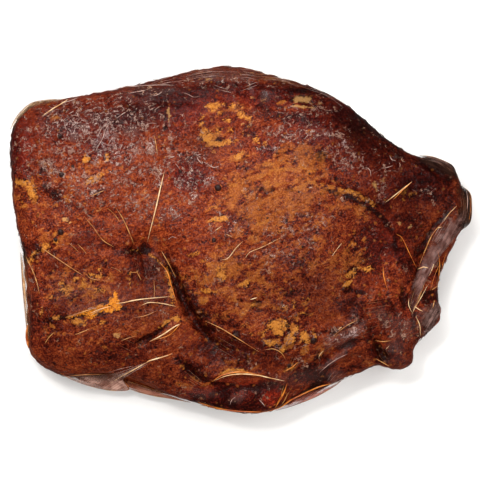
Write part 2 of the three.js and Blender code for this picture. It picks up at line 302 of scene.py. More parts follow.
# %% Islands of fat, ragged and soaked with spice
ISLANDS = [
    (212, 106, 9, 5, 0, 0.8), (219, 113, 6, 3, -10, 0.9), (231, 107, 9, 4, 0, 0.8), (241, 115, 6, 5, 0, 0.95),
    (248, 119, 6, 4, -20, 0.85), (227, 122, 7, 2.5, -8, 0.85), (205, 135, 5, 9, 10, 1), (212, 138, 7, 6, 0, 1),
    (218, 133, 4, 6, 0, 0.9), (216, 145, 15, 3.4, 4, 1), (227, 143, 6, 4, 0, 1), (231, 132, 4, 5, 0, 0.8),
    (243, 136, 4, 3, 0, 0.6), (255, 140, 5, 5, 0, 0.7), (200, 122, 3, 9, 5, 0.6), (214, 152, 3, 3, 0, 0.8),
    (268, 165, 7, 3, 0, 0.95), (284, 170, 15, 3, 2, 0.95), (302, 167, 6, 3, -15, 1), (307, 172, 11, 2, 3, 0.8),
    (291, 162, 16, 4, 0, 0.62), (301, 187, 11, 4, 12, 0.75), (272, 184, 14, 5, -5, 0.62), (262, 177, 8, 4, 10, 0.6),
    (228, 186, 12, 3, 6, 0.85), (246, 194, 8, 5, 20, 0.66), (216, 207, 9, 2.2, 10, 0.7), (226, 178, 5, 5, 60, 0.6),
    (281, 103, 6, 3, 20, 0.9), (219, 219, 10, 4, 8, 1), (262, 223, 8, 3, 8, 0.75), (279, 231, 6, 4, 20, 0.8),
    (254, 238, 8, 3, 12, 0.85), (222, 275, 5, 6, 0, 1), (223, 265, 5, 3, 20, 0.8), (246, 283, 4, 5, 0, 0.95),
    (206, 262, 8, 6, 0, 0.7), (208, 291, 10, 3, -10, 0.85), (204, 300, 7, 7, 0, 0.7), (203, 275, 5, 8, 0, 0.66),
    (252, 308, 2.5, 5, -20, 0.8), (269, 325, 5, 4.5, 0, 1), (279, 321, 7, 4, 0, 1), (277, 331, 4, 5, 0, 1),
    (284, 327, 3.5, 4.5, 0, 1), (293, 328, 4, 7, 0, 1), (287, 339, 5, 5.5, 0, 1), (291, 344, 4, 5, 0, 1),
    (303, 336, 4.5, 6, 0, 1), (309, 338, 2, 5, 0, 0.9), (313, 331, 2.5, 5, 0, 0.9), (275, 341, 9, 4, -12, 0.9),
    (284, 346, 6, 3, -20, 0.9), (264, 333, 3, 4, -30, 0.8), (270, 308, 5, 3, 0, 0.8), (279, 307, 3, 3, 0, 0.8),
    (286, 307, 5, 3, 0, 0.8), (293, 303, 3, 5, 0, 0.8), (304, 304, 4, 4, 0, 0.75), (310, 314, 4, 3, 0, 0.75),
    (297, 318, 1.8, 7, 0, 0.8), (88, 160, 5, 4.5, 0, 1), (108, 158, 2.6, 4.5, 0, 1), (93, 180, 9, 4, 18, 1),
    (101, 177, 5, 3, 25, 1), (22, 183, 8, 4, 0, 0.95), (32, 185, 5, 6, 0, 0.95), (35, 199, 6, 8, 20, 0.8),
    (24, 205, 6, 4, 0, 0.7), (53, 172, 2, 6, 0, 0.8), (57, 118, 6, 5, 0, 0.6), (60, 151, 3, 4, 0, 0.6),
    (55, 206, 6, 4, 0, 0.7), (68, 199, 5, 6, 40, 0.6), (47, 247, 6, 5, 20, 0.9), (37, 255, 7, 3, 35, 0.75),
    (57, 236, 5, 4, 0, 0.75), (70, 289, 5, 4.5, 20, 0.95), (77, 280, 4, 6, -20, 0.8), (96, 275, 9, 2, -5, 0.8),
    (84, 290, 3, 6, 0, 0.75), (100, 284, 6, 2, 0, 0.8), (105, 290, 2, 5, 0, 0.8), (95, 297, 5, 4, 0, 0.8),
    (73, 297, 8, 3, 0, 0.75), (62, 296, 5, 3, 0, 0.6), (80, 322, 9, 5, -8, 1), (103, 321, 6, 3, 10, 0.8),
    (53, 325, 3, 7, 30, 0.7), (43, 314, 2, 7, -20, 0.7), (60, 315, 5, 3, 0, 0.6), (350, 272, 6, 4, 40, 0.9),
    (366, 268, 9, 3, 5, 0.75), (346, 283, 6, 3, 30, 0.9), (341, 280, 3, 4, 0, 0.7), (352, 245, 8, 5, 0, 0.7),
    (364, 240, 5, 4, 0, 0.6), (330, 252, 5, 4, 0, 0.55), (412, 194, 6, 4, 10, 0.75), (402, 193, 3, 5, 20, 0.8),
    (176, 319, 4, 4, 40, 1), (292, 367, 6, 5, 40, 0.9), (304, 350, 5, 8, -35, 0.8), (322, 352, 4, 9, -30, 0.7),
    (335, 334, 4, 3, 30, 0.7), (184, 367, 5, 2.5, -30, 0.9), (228, 371, 10, 3, 8, 0.85), (240, 367, 7, 3, -30, 0.7),
    (220, 340, 8, 2, -28, 0.5), (190, 353, 4, 2, -20, 0.7), (378, 366, 7, 3, -35, 0.6), (384, 263, 5, 2, 0, 0.8),
    (134, 322, 8, 3, 0, 0.4), (196, 379, 8, 2.4, -25, 0.8), (206, 384, 6, 2.4, 0, 0.9), (333, 143, 8, 8, 0, 0.4),
    (310, 137, 8, 10, 30, 0.45), (360, 215, 8, 2.5, -30, 0.6),
]
ISLAND_LINES = [
    ([(220, 373), (232, 370.5), (247, 369.5)], 1.8, 0.9),
    ([(306, 183), (318, 184), (330, 187), (342, 191), (353, 193), (361, 198), (367, 202), (374, 206)], 2.8, 0.85),
    ([(150, 254), (160, 262), (167, 270), (170, 285), (175, 303)], 1.5, 0.9),
    ([(68, 316), (85, 311), (105, 303)], 1.7, 0.9), ([(27, 256), (34, 271), (40, 292)], 1.5, 0.6),
    ([(330, 300), (350, 296), (366, 290)], 1.8, 0.45),
]
print(len(ISLANDS), "islands and", len(ISLAND_LINES), "lines")

# %% Fat that lies clear under the film, with torn edges
CLEAR_FAT = [
    (66, 290, 6, 4.5, 20, 0.7), (84, 284, 3, 8, -20, 0.5), (77, 279, 3, 4, 0, 0.5), (63, 283, 4, 3, 0, 0.45),
    (98, 291, 5, 3, 0, 0.45), (95, 275, 8, 1.8, -4, 0.6), (108, 276, 6, 1.8, 0, 0.5), (93, 281, 5, 2, 20, 0.5),
    (101, 270, 3, 3, 0, 0.45), (104, 322, 6, 3, 0, 0.45), (54, 297, 4, 3, 0, 0.42), (43, 312, 2, 6, 0, 0.45),
    (56, 318, 9, 2, 8, 0.45), (57, 241, 3, 4, 0, 0.55), (48, 248, 5, 4, 0, 0.55), (36, 257, 6, 3, 45, 0.45),
    (404, 194, 3, 8, -20, 0.5), (275, 325, 8.5, 5.5, -4, 1), (285, 324, 4, 5, 0, 1), (278, 332, 5, 3, -20, 1),
    (290, 338, 5, 6.5, 20, 1), (295, 329, 3, 5, 10, 0.7), (305, 337.5, 5, 6, 0, 1), (314, 335, 2, 5, 0, 0.9),
    (271, 342.5, 7, 3, -22, 0.95), (281, 348, 5, 3, -40, 0.95), (252, 307, 1.8, 5, -8, 0.8),
    (294, 304, 3, 4, 0, 0.7), (285, 306, 4, 2.4, 10, 0.6), (304, 313, 5, 2, 0, 0.6), (263, 333, 3, 4, -30, 0.6),
    (246, 325, 3, 2.4, 0, 0.6), (250, 333, 3, 2, 0, 0.6), (306, 298, 4, 3, 0, 0.6), (88, 160, 4.5, 4, 0, 1),
    (108, 158, 2.4, 4.5, 0, 1), (80, 322, 8, 4, -8, 0.75), (219, 219, 9, 3.4, 8, 0.85), (177, 318, 4, 3, 30, 1),
    (290, 367, 6, 3, 20, 0.9), (352, 272, 7, 5, 30, 0.8), (346, 283, 5, 3.4, 30, 0.85), (367, 269, 6, 3, 10, 0.75),
    (216, 144, 13, 2.6, -8, 0.9), (207, 137, 6, 7, 30, 0.9), (218, 133, 3, 4, 0, 0.75), (230, 143, 6, 3, 10, 0.8),
    (214, 107, 10, 5, 10, 0.47), (232, 106, 12, 3, -5, 0.48), (221, 113, 4, 2, 0, 0.5), (241, 115, 4, 4, -40, 0.6),
    (249, 119, 5, 3, -30, 0.5), (227, 121, 6, 2, -8, 0.75), (232, 132, 2.6, 4, 0, 0.6), (243, 135, 3, 3, 0, 0.5),
    (202, 122, 2.4, 9, 5, 0.5), (256, 139, 3, 4, 0, 0.5), (239, 157, 6, 4, 20, 0.5), (262, 144, 8, 3, -20, 0.45),
    (95, 179, 9, 4, 18, 0.8), (22, 183, 8, 4, 0, 0.7), (33, 192, 5, 9, 0, 0.65), (246, 283, 3, 4, 0, 0.75),
    (221, 275, 5, 6, 0, 0.8), (411, 196, 5, 3, 10, 0.55), (209, 291, 9, 2.6, -10, 0.7), (222, 268, 7, 4, 30, 0.5),
    (245, 284, 6, 4, 10, 0.5), (193, 254, 8, 3, 20, 0.45), (238, 300, 4, 3, 0, 0.5),
]
CLEAR_LINES = [
    ([(40, 253), (46, 247), (52, 243)], 1.6, 0.7), ([(90, 288), (95, 286), (102, 288), (106, 292)], 1.2, 0.7),
    ([(152, 256), (160, 262), (167, 269)], 2.2, 0.56), ([(167, 268), (170, 283), (173, 296), (173, 303)], 2.0, 0.8),
    ([(340, 190), (350, 192), (358, 197), (366, 202), (373, 207)], 1.8, 0.5),
    ([(160, 327), (167, 321), (174, 317)], 1.6, 0.8), ([(224, 372), (234, 370), (244, 369)], 2.2, 0.85),
    ([(28, 262), (33, 256), (40, 251)], 1.8, 0.6), ([(92, 275), (98, 275.5), (104, 277)], 1.2, 0.75),
    ([(133, 251), (138, 250), (143, 252)], 1.3, 0.6), ([(130, 274), (131.5, 282), (132, 288)], 1.6, 0.55),
]
print(len(CLEAR_FAT), "patches and", len(CLEAR_LINES), "lines of clear fat")

# %% Smooth places, where the bark has less grain
SMOOTH = [
    (30, 135, 12, 24, 0, 1), (95, 123, 14, 7, 0, 0.9), (120, 98, 14, 6, 0, 0.8), (85, 242, 22, 8, 0, 0.9),
    (128, 288, 20, 14, 0, 1), (58, 270, 14, 10, 0, 0.8), (65, 304, 14, 5, 0, 0.7), (230, 350, 44, 16, 0, 0.9),
    (250, 366, 34, 8, 0, 0.9), (203, 300, 10, 8, 0, 0.9), (185, 333, 10, 7, 0, 0.9), (386, 235, 10, 30, 0, 0.9),
    (430, 172, 16, 12, 0, 0.8), (370, 283, 14, 10, 0, 0.8), (245, 382, 36, 5, 0, 0.8), (145, 268, 18, 16, 0, 0.8),
    (152, 112, 12, 18, 0, 0.6), (185, 105, 20, 10, 0, 0.6), (330, 350, 30, 14, 20, 0.6), (225, 120, 22, 12, 0, 0.6),
    (245, 300, 12, 8, 0, 0.4), (395, 345, 14, 16, 0, 0.7), (345, 110, 24, 12, -30, 0.5),
]
print(len(SMOOTH), "smooth places")

# %% Pale tan patches, where the film lies on clean fat
TAN = [
    (169.5, 114, 1.8, 9, 0, 0.95), (398, 223, 4, 2, 0, 0.9), (409, 227, 4, 2.4, 40, 0.9),
    (375, 188, 3, 8, 15, 0.75), (301, 100, 12, 5, 0, 0.9), (264, 99, 5, 6, -20, 0.7), (319, 102, 6, 5, 0, 0.5),
    (302, 107, 16, 1.8, 0, 0.7), (252, 100, 5, 3, -50, 0.6), (240, 158, 7, 3.5, 20, 0.6),
    (253, 122, 8, 3.5, 0, 0.5), (67, 221, 7, 4, -30, 0.8), (101, 210, 5, 5, 0, 0.5), (354, 269, 5, 3.4, 20, 0.9),
    (118, 335, 6, 3, 0, 0.7), (46, 166, 4, 5, 0, 0.4), (62, 225, 5, 5, 0, 0.4), (30, 165, 4, 5, 0, 0.4),
    (200, 115, 3, 8, 0, 0.5), (91, 184, 7, 2, 10, 0.5), (382, 180, 5, 4, -20, 0.6), (245, 126, 5, 3, 0, 0.5),
    (360, 330, 9, 5, 20, 0.35), (327, 128, 6, 4, 30, 0.5), (285, 80, 30, 3, -5, 0.5), (205, 80, 26, 4, 8, 0.45),
    (240, 73, 30, 2.5, 0, 0.5), (418, 211, 3, 4, 0, 0.6),
]
print(len(TAN), "tan patches")

# %% Dark bark, and painted shade in hollows, creases and crevices and along the slab's edges and front wall
DARK_BARK_AND_SHADE = [
    (412, 222, 16, 24, 0, 0.5), (370, 333, 5, 12, -20, 0.7), (347, 344, 15, 3.5, 25, 0.75),
    (318, 356, 5, 8, -30, 0.7), (345, 370, 20, 4, 25, 0.5), (362, 322, 5, 3, 20, 0.5),
    (350, 308, 10, 12, -20, 0.45), (330, 362, 10, 3, -35, 0.6), (372, 350, 5, 8, 0, 0.6),
    (384, 356, 6, 10, -30, 0.8), (384, 206, 10, 6, -30, 0.6), (13, 152, 8, 28, 0, 0.5), (158, 107, 9, 7, 0, 0.45),
    (167, 112, 3, 14, 0, 0.5), (297, 91, 15, 3.5, 0, 1), (292, 100, 4, 2.5, 0, 0.9), (190, 178, 18, 12, 0, 0.55),
    (405, 217, 13, 6, 0, 0.75), (400, 235, 10, 5, 30, 0.6), (422, 186, 28, 18, 0, 0.62),
    (432, 166, 22, 8, -15, 0.9), (147, 249, 8, 5, 0, 1), (132, 252, 16, 6, 5, 0.75), (145, 268, 14, 18, 0, 0.4),
    (212, 396, 4, 4, 0, 1), (225, 394, 6, 6, 0, 1), (245, 404, 22, 7, -5, 0.9), (270, 385, 12, 6, -10, 0.95),
    (377, 349, 3.5, 9, 20, 1), (389, 353, 7, 11, -20, 0.75), (150, 337, 13, 3.2, 30, 1),
    (195, 370, 20, 9, -25, 0.75), (404, 298, 4, 13, 5, 0.95), (428, 297, 10, 10, 0, 0.95),
    (414, 315, 3, 6, -20, 0.6), (288, 332, 28, 20, 0, 0.35), (76, 128, 12, 12, 0, 0.3), (97, 146, 10, 13, 0, 0.3),
    (125, 122, 13, 8, 0, 0.35), (190, 162, 15, 10, 0, 0.35), (183, 104, 18, 11, 0, 0.35), (156, 112, 5, 5, 0, 0.6),
    (176, 278, 5, 14, 12, 0.75), (182, 290, 7, 7, 0, 0.75), (193, 310, 10, 10, 0, 0.8), (187, 277, 4, 3, 0, 0.8),
    (207, 318, 9, 4, -20, 0.8), (240, 352, 44, 16, -15, 0.5), (222, 391, 12, 6, 0, 0.8), (262, 388, 22, 4, 0, 1),
    (230, 402, 20, 5, -8, 0.8), (352, 290, 16, 3, -10, 0.7), (370, 282, 10, 16, 0, 0.1),
    (368, 250, 24, 34, 0, 0.42), (350, 306, 26, 10, 0, 0.5), (188, 300, 9, 22, 20, 0.7),
    (203, 325, 15, 9, -25, 0.75), (45, 330, 20, 26, 0, 0.42), (35, 300, 8, 22, 0, 0.3), (120, 350, 44, 14, 8, 0.5),
    (235, 348, 44, 16, 0, 0.52), (312, 372, 26, 9, 15, 0.7), (324, 378, 9, 4, 15, 1), (385, 315, 28, 20, 0, 0.42),
    (262, 396, 26, 12, 0, 0.6), (236, 335, 5, 6, 0, 0.9), (256, 303, 6, 4, 0, 0.9), (259, 310, 4, 3, 0, 0.7),
    (200, 314, 10, 6, -30, 0.9), (313, 340, 4, 4, -50, 1), (345, 115, 26, 16, -30, 0.4),
    (375, 148, 25, 16, -30, 0.35), (445, 200, 14, 16, 0, 0.5), (57, 195, 6, 6, 0, 0.8), (48, 190, 5, 5, 0, 0.6),
    (222, 117, 15, 6, 0, 0.3), (222, 129, 13, 5, -5, 0.3), (220, 140, 6, 2.5, 0, 0.7), (249, 131, 8, 8, 0, 0.55),
    (268, 150, 12, 5, -8, 0.3), (267, 169, 8, 4, 0, 0.4), (266, 190, 11, 3, -3, 0.66), (290, 190, 6, 3, 0, 0.7),
    (320, 155, 5, 8, 0, 0.7), (243, 168, 7, 3, 0, 0.55), (130, 118, 32, 14, 10, 0.5), (290, 118, 44, 7, -5, 0.45),
    (300, 215, 10, 3, 0, 0.4), (35, 248, 12, 8, 20, 0.55), (88, 240, 20, 10, 0, 0.25), (45, 172, 5, 5, 0, 0.5),
    (98, 192, 8, 2.5, 12, 0.8), (100, 290, 3, 3, 0, 0.8), (103, 303, 4, 2, 0, 0.8), (300, 262, 20, 8, 0, 0.3),
    (405, 260, 8, 20, 10, 0.5), (290, 292, 12, 5, 0, 0.5), (334, 330, 6, 4, 0, 0.6), (440, 272, 5, 12, 0, 0.7),
    (310, 98, 4, 3, 0, 0.6), (262, 108, 9, 5, 0, 0.5), (343, 186, 24, 5, -30, 0.3), (375, 205, 20, 4, -35, 0.4),
    (225, 320, 26, 6, -20, 0.5), (100, 264, 20, 5, 0, 0.3), (260, 345, 12, 6, 0, 0.5), (262, 357, 22, 7, -10, 0.5),
    (447, 178, 8, 10, -30, 0.8), (418, 336, 4, 8, 0, 0.4), (398, 350, 6, 12, 0, 0.35), (210, 88, 30, 5, 8, 0.45),
    (255, 88, 30, 5, -4, 0.5), (320, 92, 12, 5, -20, 0.7),
]
DARK_BARK_AND_SHADE_LINES = [
    ([(350, 317), (366, 326), (380, 334)], 2, 0.6), ([(330, 336), (345, 326), (362, 317)], 2, 0.6),
    ([(389, 298), (396, 318), (402, 338)], 2, 0.6), ([(352, 345), (368, 336), (376, 332)], 1.6, 0.6),
    ([(141, 341), (152, 335), (164, 327), (168, 323)], 2.2, 1), ([(29.5, 297), (31.5, 318), (32, 345)], 2, 0.6),
    ([(255, 398), (258, 392), (261, 388)], 1, 1), ([(214, 400), (232, 402), (252, 405)], 1.2, 1),
    ([(216, 404.5), (236, 407), (256, 409)], 1.2, 1), ([(352, 196), (361, 203), (371, 210), (382, 216)], 1.4, 0.9),
    ([(110, 98), (170, 95), (230, 95), (290, 96), (335, 110), (372, 137), (400, 155)], 7, 0.35),
    ([(165, 253), (176, 278), (184, 300), (196, 320), (216, 346)], 3.5, 0.55),
    ([(322, 188), (335, 192), (347, 197), (358, 202), (366, 208), (378, 214), (392, 232), (398, 262)], 2.6, 0.75),
    ([(178, 358), (194, 376), (212, 384), (240, 388), (284, 388)], 3, 0.85),
    ([(196, 398), (240, 408), (280, 406)], 6, 0.75), ([(418, 268), (411, 300), (414, 330)], 2.5, 0.8),
    ([(449, 212), (436, 224), (427, 238), (418, 254)], 2.2, 0.85), ([(400, 250), (412, 262), (418, 248)], 3.5, 0.6),
    ([(22, 243), (27, 262)], 2, 0.8), ([(290, 399), (306, 390), (322, 383)], 2, 0.9),
    ([(60, 318), (85, 315), (104, 312), (126, 308)], 2, 0.7), ([(124, 250), (113, 247), (104, 241)], 1.5, 0.5),
    ([(131, 256), (132, 268), (134, 280)], 1.4, 0.55), ([(136.5, 254), (138, 268), (140, 281)], 1.4, 0.55),
    ([(142, 254), (144, 268), (146, 281)], 1.4, 0.55), ([(148, 256), (150, 268), (152, 280)], 1.4, 0.5),
    ([(154, 260), (156, 270), (158, 280)], 1.4, 0.5), ([(166.5, 99), (165.5, 114), (166, 130)], 1.3, 0.8),
    ([(167, 262), (176, 281), (182, 300)], 2.2, 0.8),
]
print(len(DARK_BARK_AND_SHADE), "dark patches and", len(DARK_BARK_AND_SHADE_LINES), "dark lines")

# %% Lighter and darker places, added up softly, above nought lighter: partly smoke that took unevenly, partly painted shade at the edges, along the front and in hollows
SMOKE_AND_SHADE = [
    (345, 108, 55, 24, -35, -0.2), (390, 155, 50, 30, -35, -0.16), (425, 195, 45, 45, 0, -0.12),
    (12, 155, 10, 45, 0, -0.1), (228, 80, 90, 14, 0, -0.18), (120, 205, 90, 55, 0, 0.05),
    (250, 378, 180, 34, 0, -0.12), (150, 285, 24, 30, 0, -0.08), (271, 397, 7, 8, 0, 0.7),
    (240, 381, 30, 3, 0, 0.2), (245, 391, 7, 5, 0, 0.2), (80, 300, 60, 40, 0, -0.07), (280, 300, 60, 40, 0, -0.07),
    (85, 120, 60, 22, 10, -0.06), (36, 290, 10, 40, 0, 0.12), (156, 106, 22, 18, 0, -0.15),
    (204, 156, 14, 16, 0, -0.06), (338, 148, 28, 14, 0, -0.08), (164, 272, 10, 18, 0, -0.12),
    (207, 138, 12, 12, 0, -0.07), (368, 282, 14, 12, 0, 0.06), (358, 197, 18, 8, -30, -0.07),
    (412, 222, 18, 26, 0, -0.07), (212, 388, 26, 10, 0, 0.06), (324, 384, 10, 6, 0, -0.08),
    (375, 146, 14, 8, -35, 0.08), (252, 146, 12, 8, 0, 0.06), (158, 242, 14, 8, 0, 0.1), (405, 312, 8, 12, 0, 0.1),
    (100, 122, 40, 14, 0, -0.05), (320, 212, 60, 20, 0, -0.05), (90, 118, 50, 16, 5, -0.05),
    (225, 126, 18, 9, 0, 0.05), (288, 334, 28, 14, 0, 0.1), (179, 283, 8, 18, 15, 0.1), (30, 134, 12, 18, 0, 0.05),
    (398, 310, 12, 10, 0, 0.07), (156, 240, 12, 7, 0, 0.06), (156, 266, 10, 8, 0, -0.07),
    (352, 122, 22, 8, -35, -0.06), (325, 360, 14, 8, 30, 0.05), (100, 116, 24, 8, 5, -0.05),
    (165, 98, 30, 7, 4, -0.04), (250, 290, 70, 40, 0, -0.04), (150, 312, 26, 10, 0, -0.08),
    (80, 298, 18, 18, 0, -0.07), (334, 288, 26, 26, 0, -0.11), (276, 384, 12, 6, 0, -0.1),
]
print(len(SMOKE_AND_SHADE), "places with more or less smoke")

# %% Maroon bark, gold fat and raw-looking red
MAROON = [
    (76, 128, 14, 12, 0, 1), (97, 146, 12, 14, 0, 0.9), (125, 122, 14, 9, 0, 0.9), (195, 391, 16, 7, 0, 0.9),
    (224, 124, 22, 12, 0, 0.25), (265, 400, 8, 6, 0, 0.6), (90, 125, 60, 35, 5, 0.6), (170, 105, 50, 28, 0, 0.9),
    (20, 150, 14, 40, 0, 0.9), (190, 178, 26, 16, 0, 0.8), (250, 95, 70, 14, 0, 0.8), (340, 130, 60, 40, -30, 0.8),
    (400, 180, 45, 35, -20, 0.7), (240, 395, 60, 16, 0, 0.6), (290, 140, 40, 18, 0, 0.5),
    (190, 255, 18, 10, 0, 0.4), (390, 240, 30, 30, 0, 0.5), (268, 150, 14, 7, 0, 0.6), (200, 393, 18, 6, -8, 0.9),
]
GOLD = [
    (115, 301, 6, 7, 0, 1), (118, 305, 5, 5, 0, 1), (111, 307, 8, 4, 10, 1), (115.5, 295, 2.6, 3.6, 0, 1),
    (99, 309.5, 16, 3.2, 13, 1), (96, 314, 9, 2, 27, 0.75), (82, 313.5, 12, 1.6, 14, 0.7),
]
RAW = [
    (165, 100, 34, 9, 4, 0.6), (225, 96, 40, 5, 0, 0.4), (378, 142, 20, 10, -38, 0.7), (271, 397, 7, 8, 0, 1),
    (95, 123, 12, 6, 0, 0.7), (120, 98, 12, 5, 0, 0.7), (152, 116, 8, 5, 0, 0.8), (152, 128, 8, 4, 0, 0.8),
    (180, 130, 12, 6, 0, 0.5), (28, 138, 10, 18, 0, 0.5), (386, 238, 9, 14, 0, 0.7), (195, 393, 20, 5, -10, 0.5),
    (288, 404, 18, 5, 20, 0.7), (326, 360, 12, 8, 30, 0.5), (240, 384, 32, 3, 0, 0.8), (205, 383, 7, 2.5, 0, 0.8),
    (392, 232, 8, 20, 0, 0.5), (27, 130, 12, 18, 0, 0.35), (90, 122, 12, 6, 0, 0.5), (110, 105, 14, 5, 0, 0.4),
]
print(len(MAROON), "maroon,", len(GOLD), "gold and", len(RAW), "raw-looking patches")

# %% Where the film is crinkled, with painted glints, and where it stands off the meat as a veil, which on the folds and the back shoulder is painted sheen
HAZE_AND_GLINTS = [
    (105, 150, 90, 70, 0, 0.55), (95, 128, 48, 28, 0, 0.62), (105, 140, 14, 20, -30, 0.95),
    (72, 130, 12, 18, -20, 0.7), (140, 110, 30, 16, 0, 0.35), (130, 150, 22, 24, 0, 0.6), (30, 150, 20, 32, 0, 0.4),
    (182, 186, 24, 18, 0, 0.55), (208, 182, 14, 8, 0, 0.6), (292, 130, 30, 14, -5, 0.45),
    (335, 130, 26, 10, -25, 0.42), (325, 134, 8, 5, 10, 0.85), (346, 160, 26, 12, -20, 0.5),
    (342, 145, 7, 5, 30, 0.9), (362, 160, 6, 12, 25, 0.6), (200, 158, 12, 16, 0, 0.5), (268, 150, 10, 5, 0, 0.9),
    (225, 84, 64, 7, 0, 0.4), (386, 170, 20, 16, 0, 0.35), (380, 190, 10, 16, 20, 0.45),
    (350, 333, 16, 5, 25, 0.95), (345, 330, 26, 10, 20, 0.45), (398, 326, 24, 16, 0, 0.4),
    (140, 205, 26, 18, 0, 0.55), (172, 214, 16, 12, 0, 0.6), (30, 280, 8, 20, 0, 0.5), (428, 194, 14, 12, 0, 0.2),
    (300, 350, 50, 22, 20, 0.3), (240, 240, 240, 180, 0, 0.05), (300, 112, 40, 8, 0, 0.45),
    (285, 240, 40, 26, 25, 0.4), (225, 228, 22, 12, 30, 0.5), (400, 275, 16, 16, 0, 0.2),
    (450, 235, 16, 30, 0, 0.4), (315, 225, 26, 12, 20, 0.45), (260, 392, 12, 8, 0, 0.2), (66, 108, 30, 7, 10, 0.6),
    (370, 145, 34, 10, -35, 0.2),
]
VEIL_AND_SHEEN = [
    (350, 333, 13, 3, 22, 0.75), (360, 324, 9, 3, 20, 0.45), (385, 318, 12, 7, -30, 0.35),
    (338, 356, 16, 2.4, 38, 0.6), (328, 342, 4, 8, 0, 0.4), (395, 345, 10, 10, 0, 0.35),
    (396, 322, 4, 9, -20, 0.45), (300, 378, 40, 8, 10, 0.25), (400, 362, 16, 8, 0, 0.2), (336, 378, 10, 9, 35, 0.6),
    (230, 74, 60, 7, 0, 0.35), (75, 138, 6, 5, 0, 0.7), (132, 133, 8, 6, 0, 0.55), (147, 104, 6, 5, 0, 0.3),
    (405, 330, 14, 10, 0, 0.4), (264, 98, 5, 6, 0, 0.5), (200, 392, 16, 5, -8, 0.4), (342, 338, 12, 10, 30, 0.4),
    (238, 396, 10, 5, 30, 0.45), (156, 241, 2.6, 6, -5, 0.5), (150, 92, 34, 4, 3, 0.4),
]
print(len(HAZE_AND_GLINTS), "crinkled places and", len(VEIL_AND_SHEEN), "with a veil")

# %% Folds: places, half width in pixels and height in mm, below nought for a valley
FOLDS = [
    ([(322, 350), (332, 340), (345, 333), (362, 330)], 2.6, 1.5), ([(326, 358), (345, 345), (364, 340)], 3, -1.6),
    ([(366, 316), (372, 330), (379, 342)], 3, -1.4), ([(394, 300), (398, 320), (404, 335)], 3, -1.0),
    ([(344, 322), (352, 308), (358, 296)], 3.5, -0.9), ([(386, 316), (392, 330), (396, 344)], 3, 0.7),
    ([(205, 380), (222, 374), (240, 372), (262, 373), (284, 380)], 3, 1.3),
    ([(212, 388), (240, 385), (282, 389)], 5, -1.4), ([(180, 360), (195, 376), (212, 383)], 3.5, -1.3),
    ([(318, 372), (328, 365), (346, 354)], 2.5, 1.0), ([(326, 374), (340, 363), (353, 357)], 3, -1.2),
    ([(456, 206), (443, 219), (432, 233), (423, 250), (417, 268)], 2.2, 1.0),
    ([(448, 211), (435, 223), (426, 237), (416, 254)], 2.5, -1.4),
    ([(418, 160), (430, 169), (444, 178), (456, 181)], 3, -1.3), ([(386, 266), (388, 280), (389, 292)], 2.2, 0.6),
    ([(404, 286), (402, 298), (405, 310)], 3, -1.5), ([(139, 343), (150, 337), (161, 329)], 2.4, -1.4),
    ([(150, 340), (163, 333), (180, 324)], 2.2, 0.9), ([(150, 255), (160, 263), (168, 275), (175, 303)], 2.6, 0.9),
    ([(376, 341), (378, 350), (383, 357)], 3.2, -2.2), ([(388, 344), (391, 362)], 4, -1.2),
    ([(411, 312), (414, 323)], 2.5, -1.2), ([(420, 290), (430, 300), (428, 306)], 4, -1.3),
    ([(100, 96), (140, 92), (180, 92), (230, 90), (290, 92), (330, 104)], 4, 0.9),
    ([(130, 103), (190, 103), (250, 104), (310, 112)], 4, -0.7),
    ([(325, 194), (345, 201), (368, 214), (388, 236)], 4, -1.0),
    ([(312, 184), (340, 189), (360, 196), (376, 206)], 2.6, 0.8), ([(352, 275), (352, 292), (368, 296)], 4, -0.8),
    ([(98, 195), (106, 190)], 2.5, 0.7), ([(70, 315), (90, 309), (112, 303)], 3, 0.7),
    ([(108, 250), (126, 250), (144, 250)], 4, -1.2), ([(130, 258), (130, 285)], 2.2, -0.5),
    ([(137, 258), (138, 288)], 2.2, -0.5), ([(144, 258), (147, 288)], 2.2, -0.5),
    ([(340, 330), (352, 321)], 2.4, 0.7), ([(300, 352), (294, 366), (292, 376)], 4, -0.8),
    ([(205, 320), (232, 333), (259, 351)], 2.5, 0.6), ([(330, 320), (360, 305), (395, 300)], 5, -0.7),
]
print(len(FOLDS), "folds")

# %% Where the film and the meat under it are crumpled
CRUMPLED = [
    (335, 350, 60, 24, 20, 1), (240, 392, 62, 16, 0, 0.9), (425, 250, 34, 70, -10, 0.9), (90, 345, 70, 20, 0, 0.6),
    (150, 272, 30, 30, 0, 0.5), (200, 350, 50, 24, 0, 0.7), (440, 178, 34, 24, -20, 1), (400, 330, 40, 40, 0, 0.9),
    (220, 90, 110, 14, 0, 0.7), (380, 200, 30, 40, 0, 0.5), (60, 110, 50, 14, 10, 0.5), (190, 310, 30, 40, 0, 0.6),
]
print(len(CRUMPLED), "crumpled places")

# %% [markdown]
# ## The relief of the bark
#
# Smoke and spice dry the outside to a bark: craggy lumps of some millimetres, with the fibres of the
# meat and its fat running slantwise under them. Each is noise at its real size, and that of the fibres
# is drawn out along them. The film has pressed folds and creases into the meat, so both bodies share
# them. The resting face stays flat.

# %% Relief helpers
FIBRE_TURN = math.radians(27)
FIBRE_TO_GRID = np.array([
    [math.cos(FIBRE_TURN), -math.sin(FIBRE_TURN), 0],
    [math.sin(FIBRE_TURN), math.cos(FIBRE_TURN), 0],
    [0, 0, 1],
])
RESTING_FADE = 4 * MM
SLANT = 0.5
CREASE_LEVEL = 0.35
CRUMPLE, CRUMPLE_RISE, CRUMPLE_EVERYWHERE = (11 * MM, 91.0), 1.6 * MM, 0.15
WALL_FOLDS, WALL_SHARE = ((9 * MM, 9 * MM, 32 * MM), 95.0), 0.6


def facing_up(thing):
    """One where the surface faces up or slants a little, down to nought where it is upright."""
    return np.clip(read(thing, "normal")[:, 2] / SLANT, 0, 1)


def creases(points, size, seed):
    """Sharp valleys where a noise crosses nought, with level ground between them."""
    return CREASE_LEVEL - np.abs(bumps(points, size, seed, octaves=2))


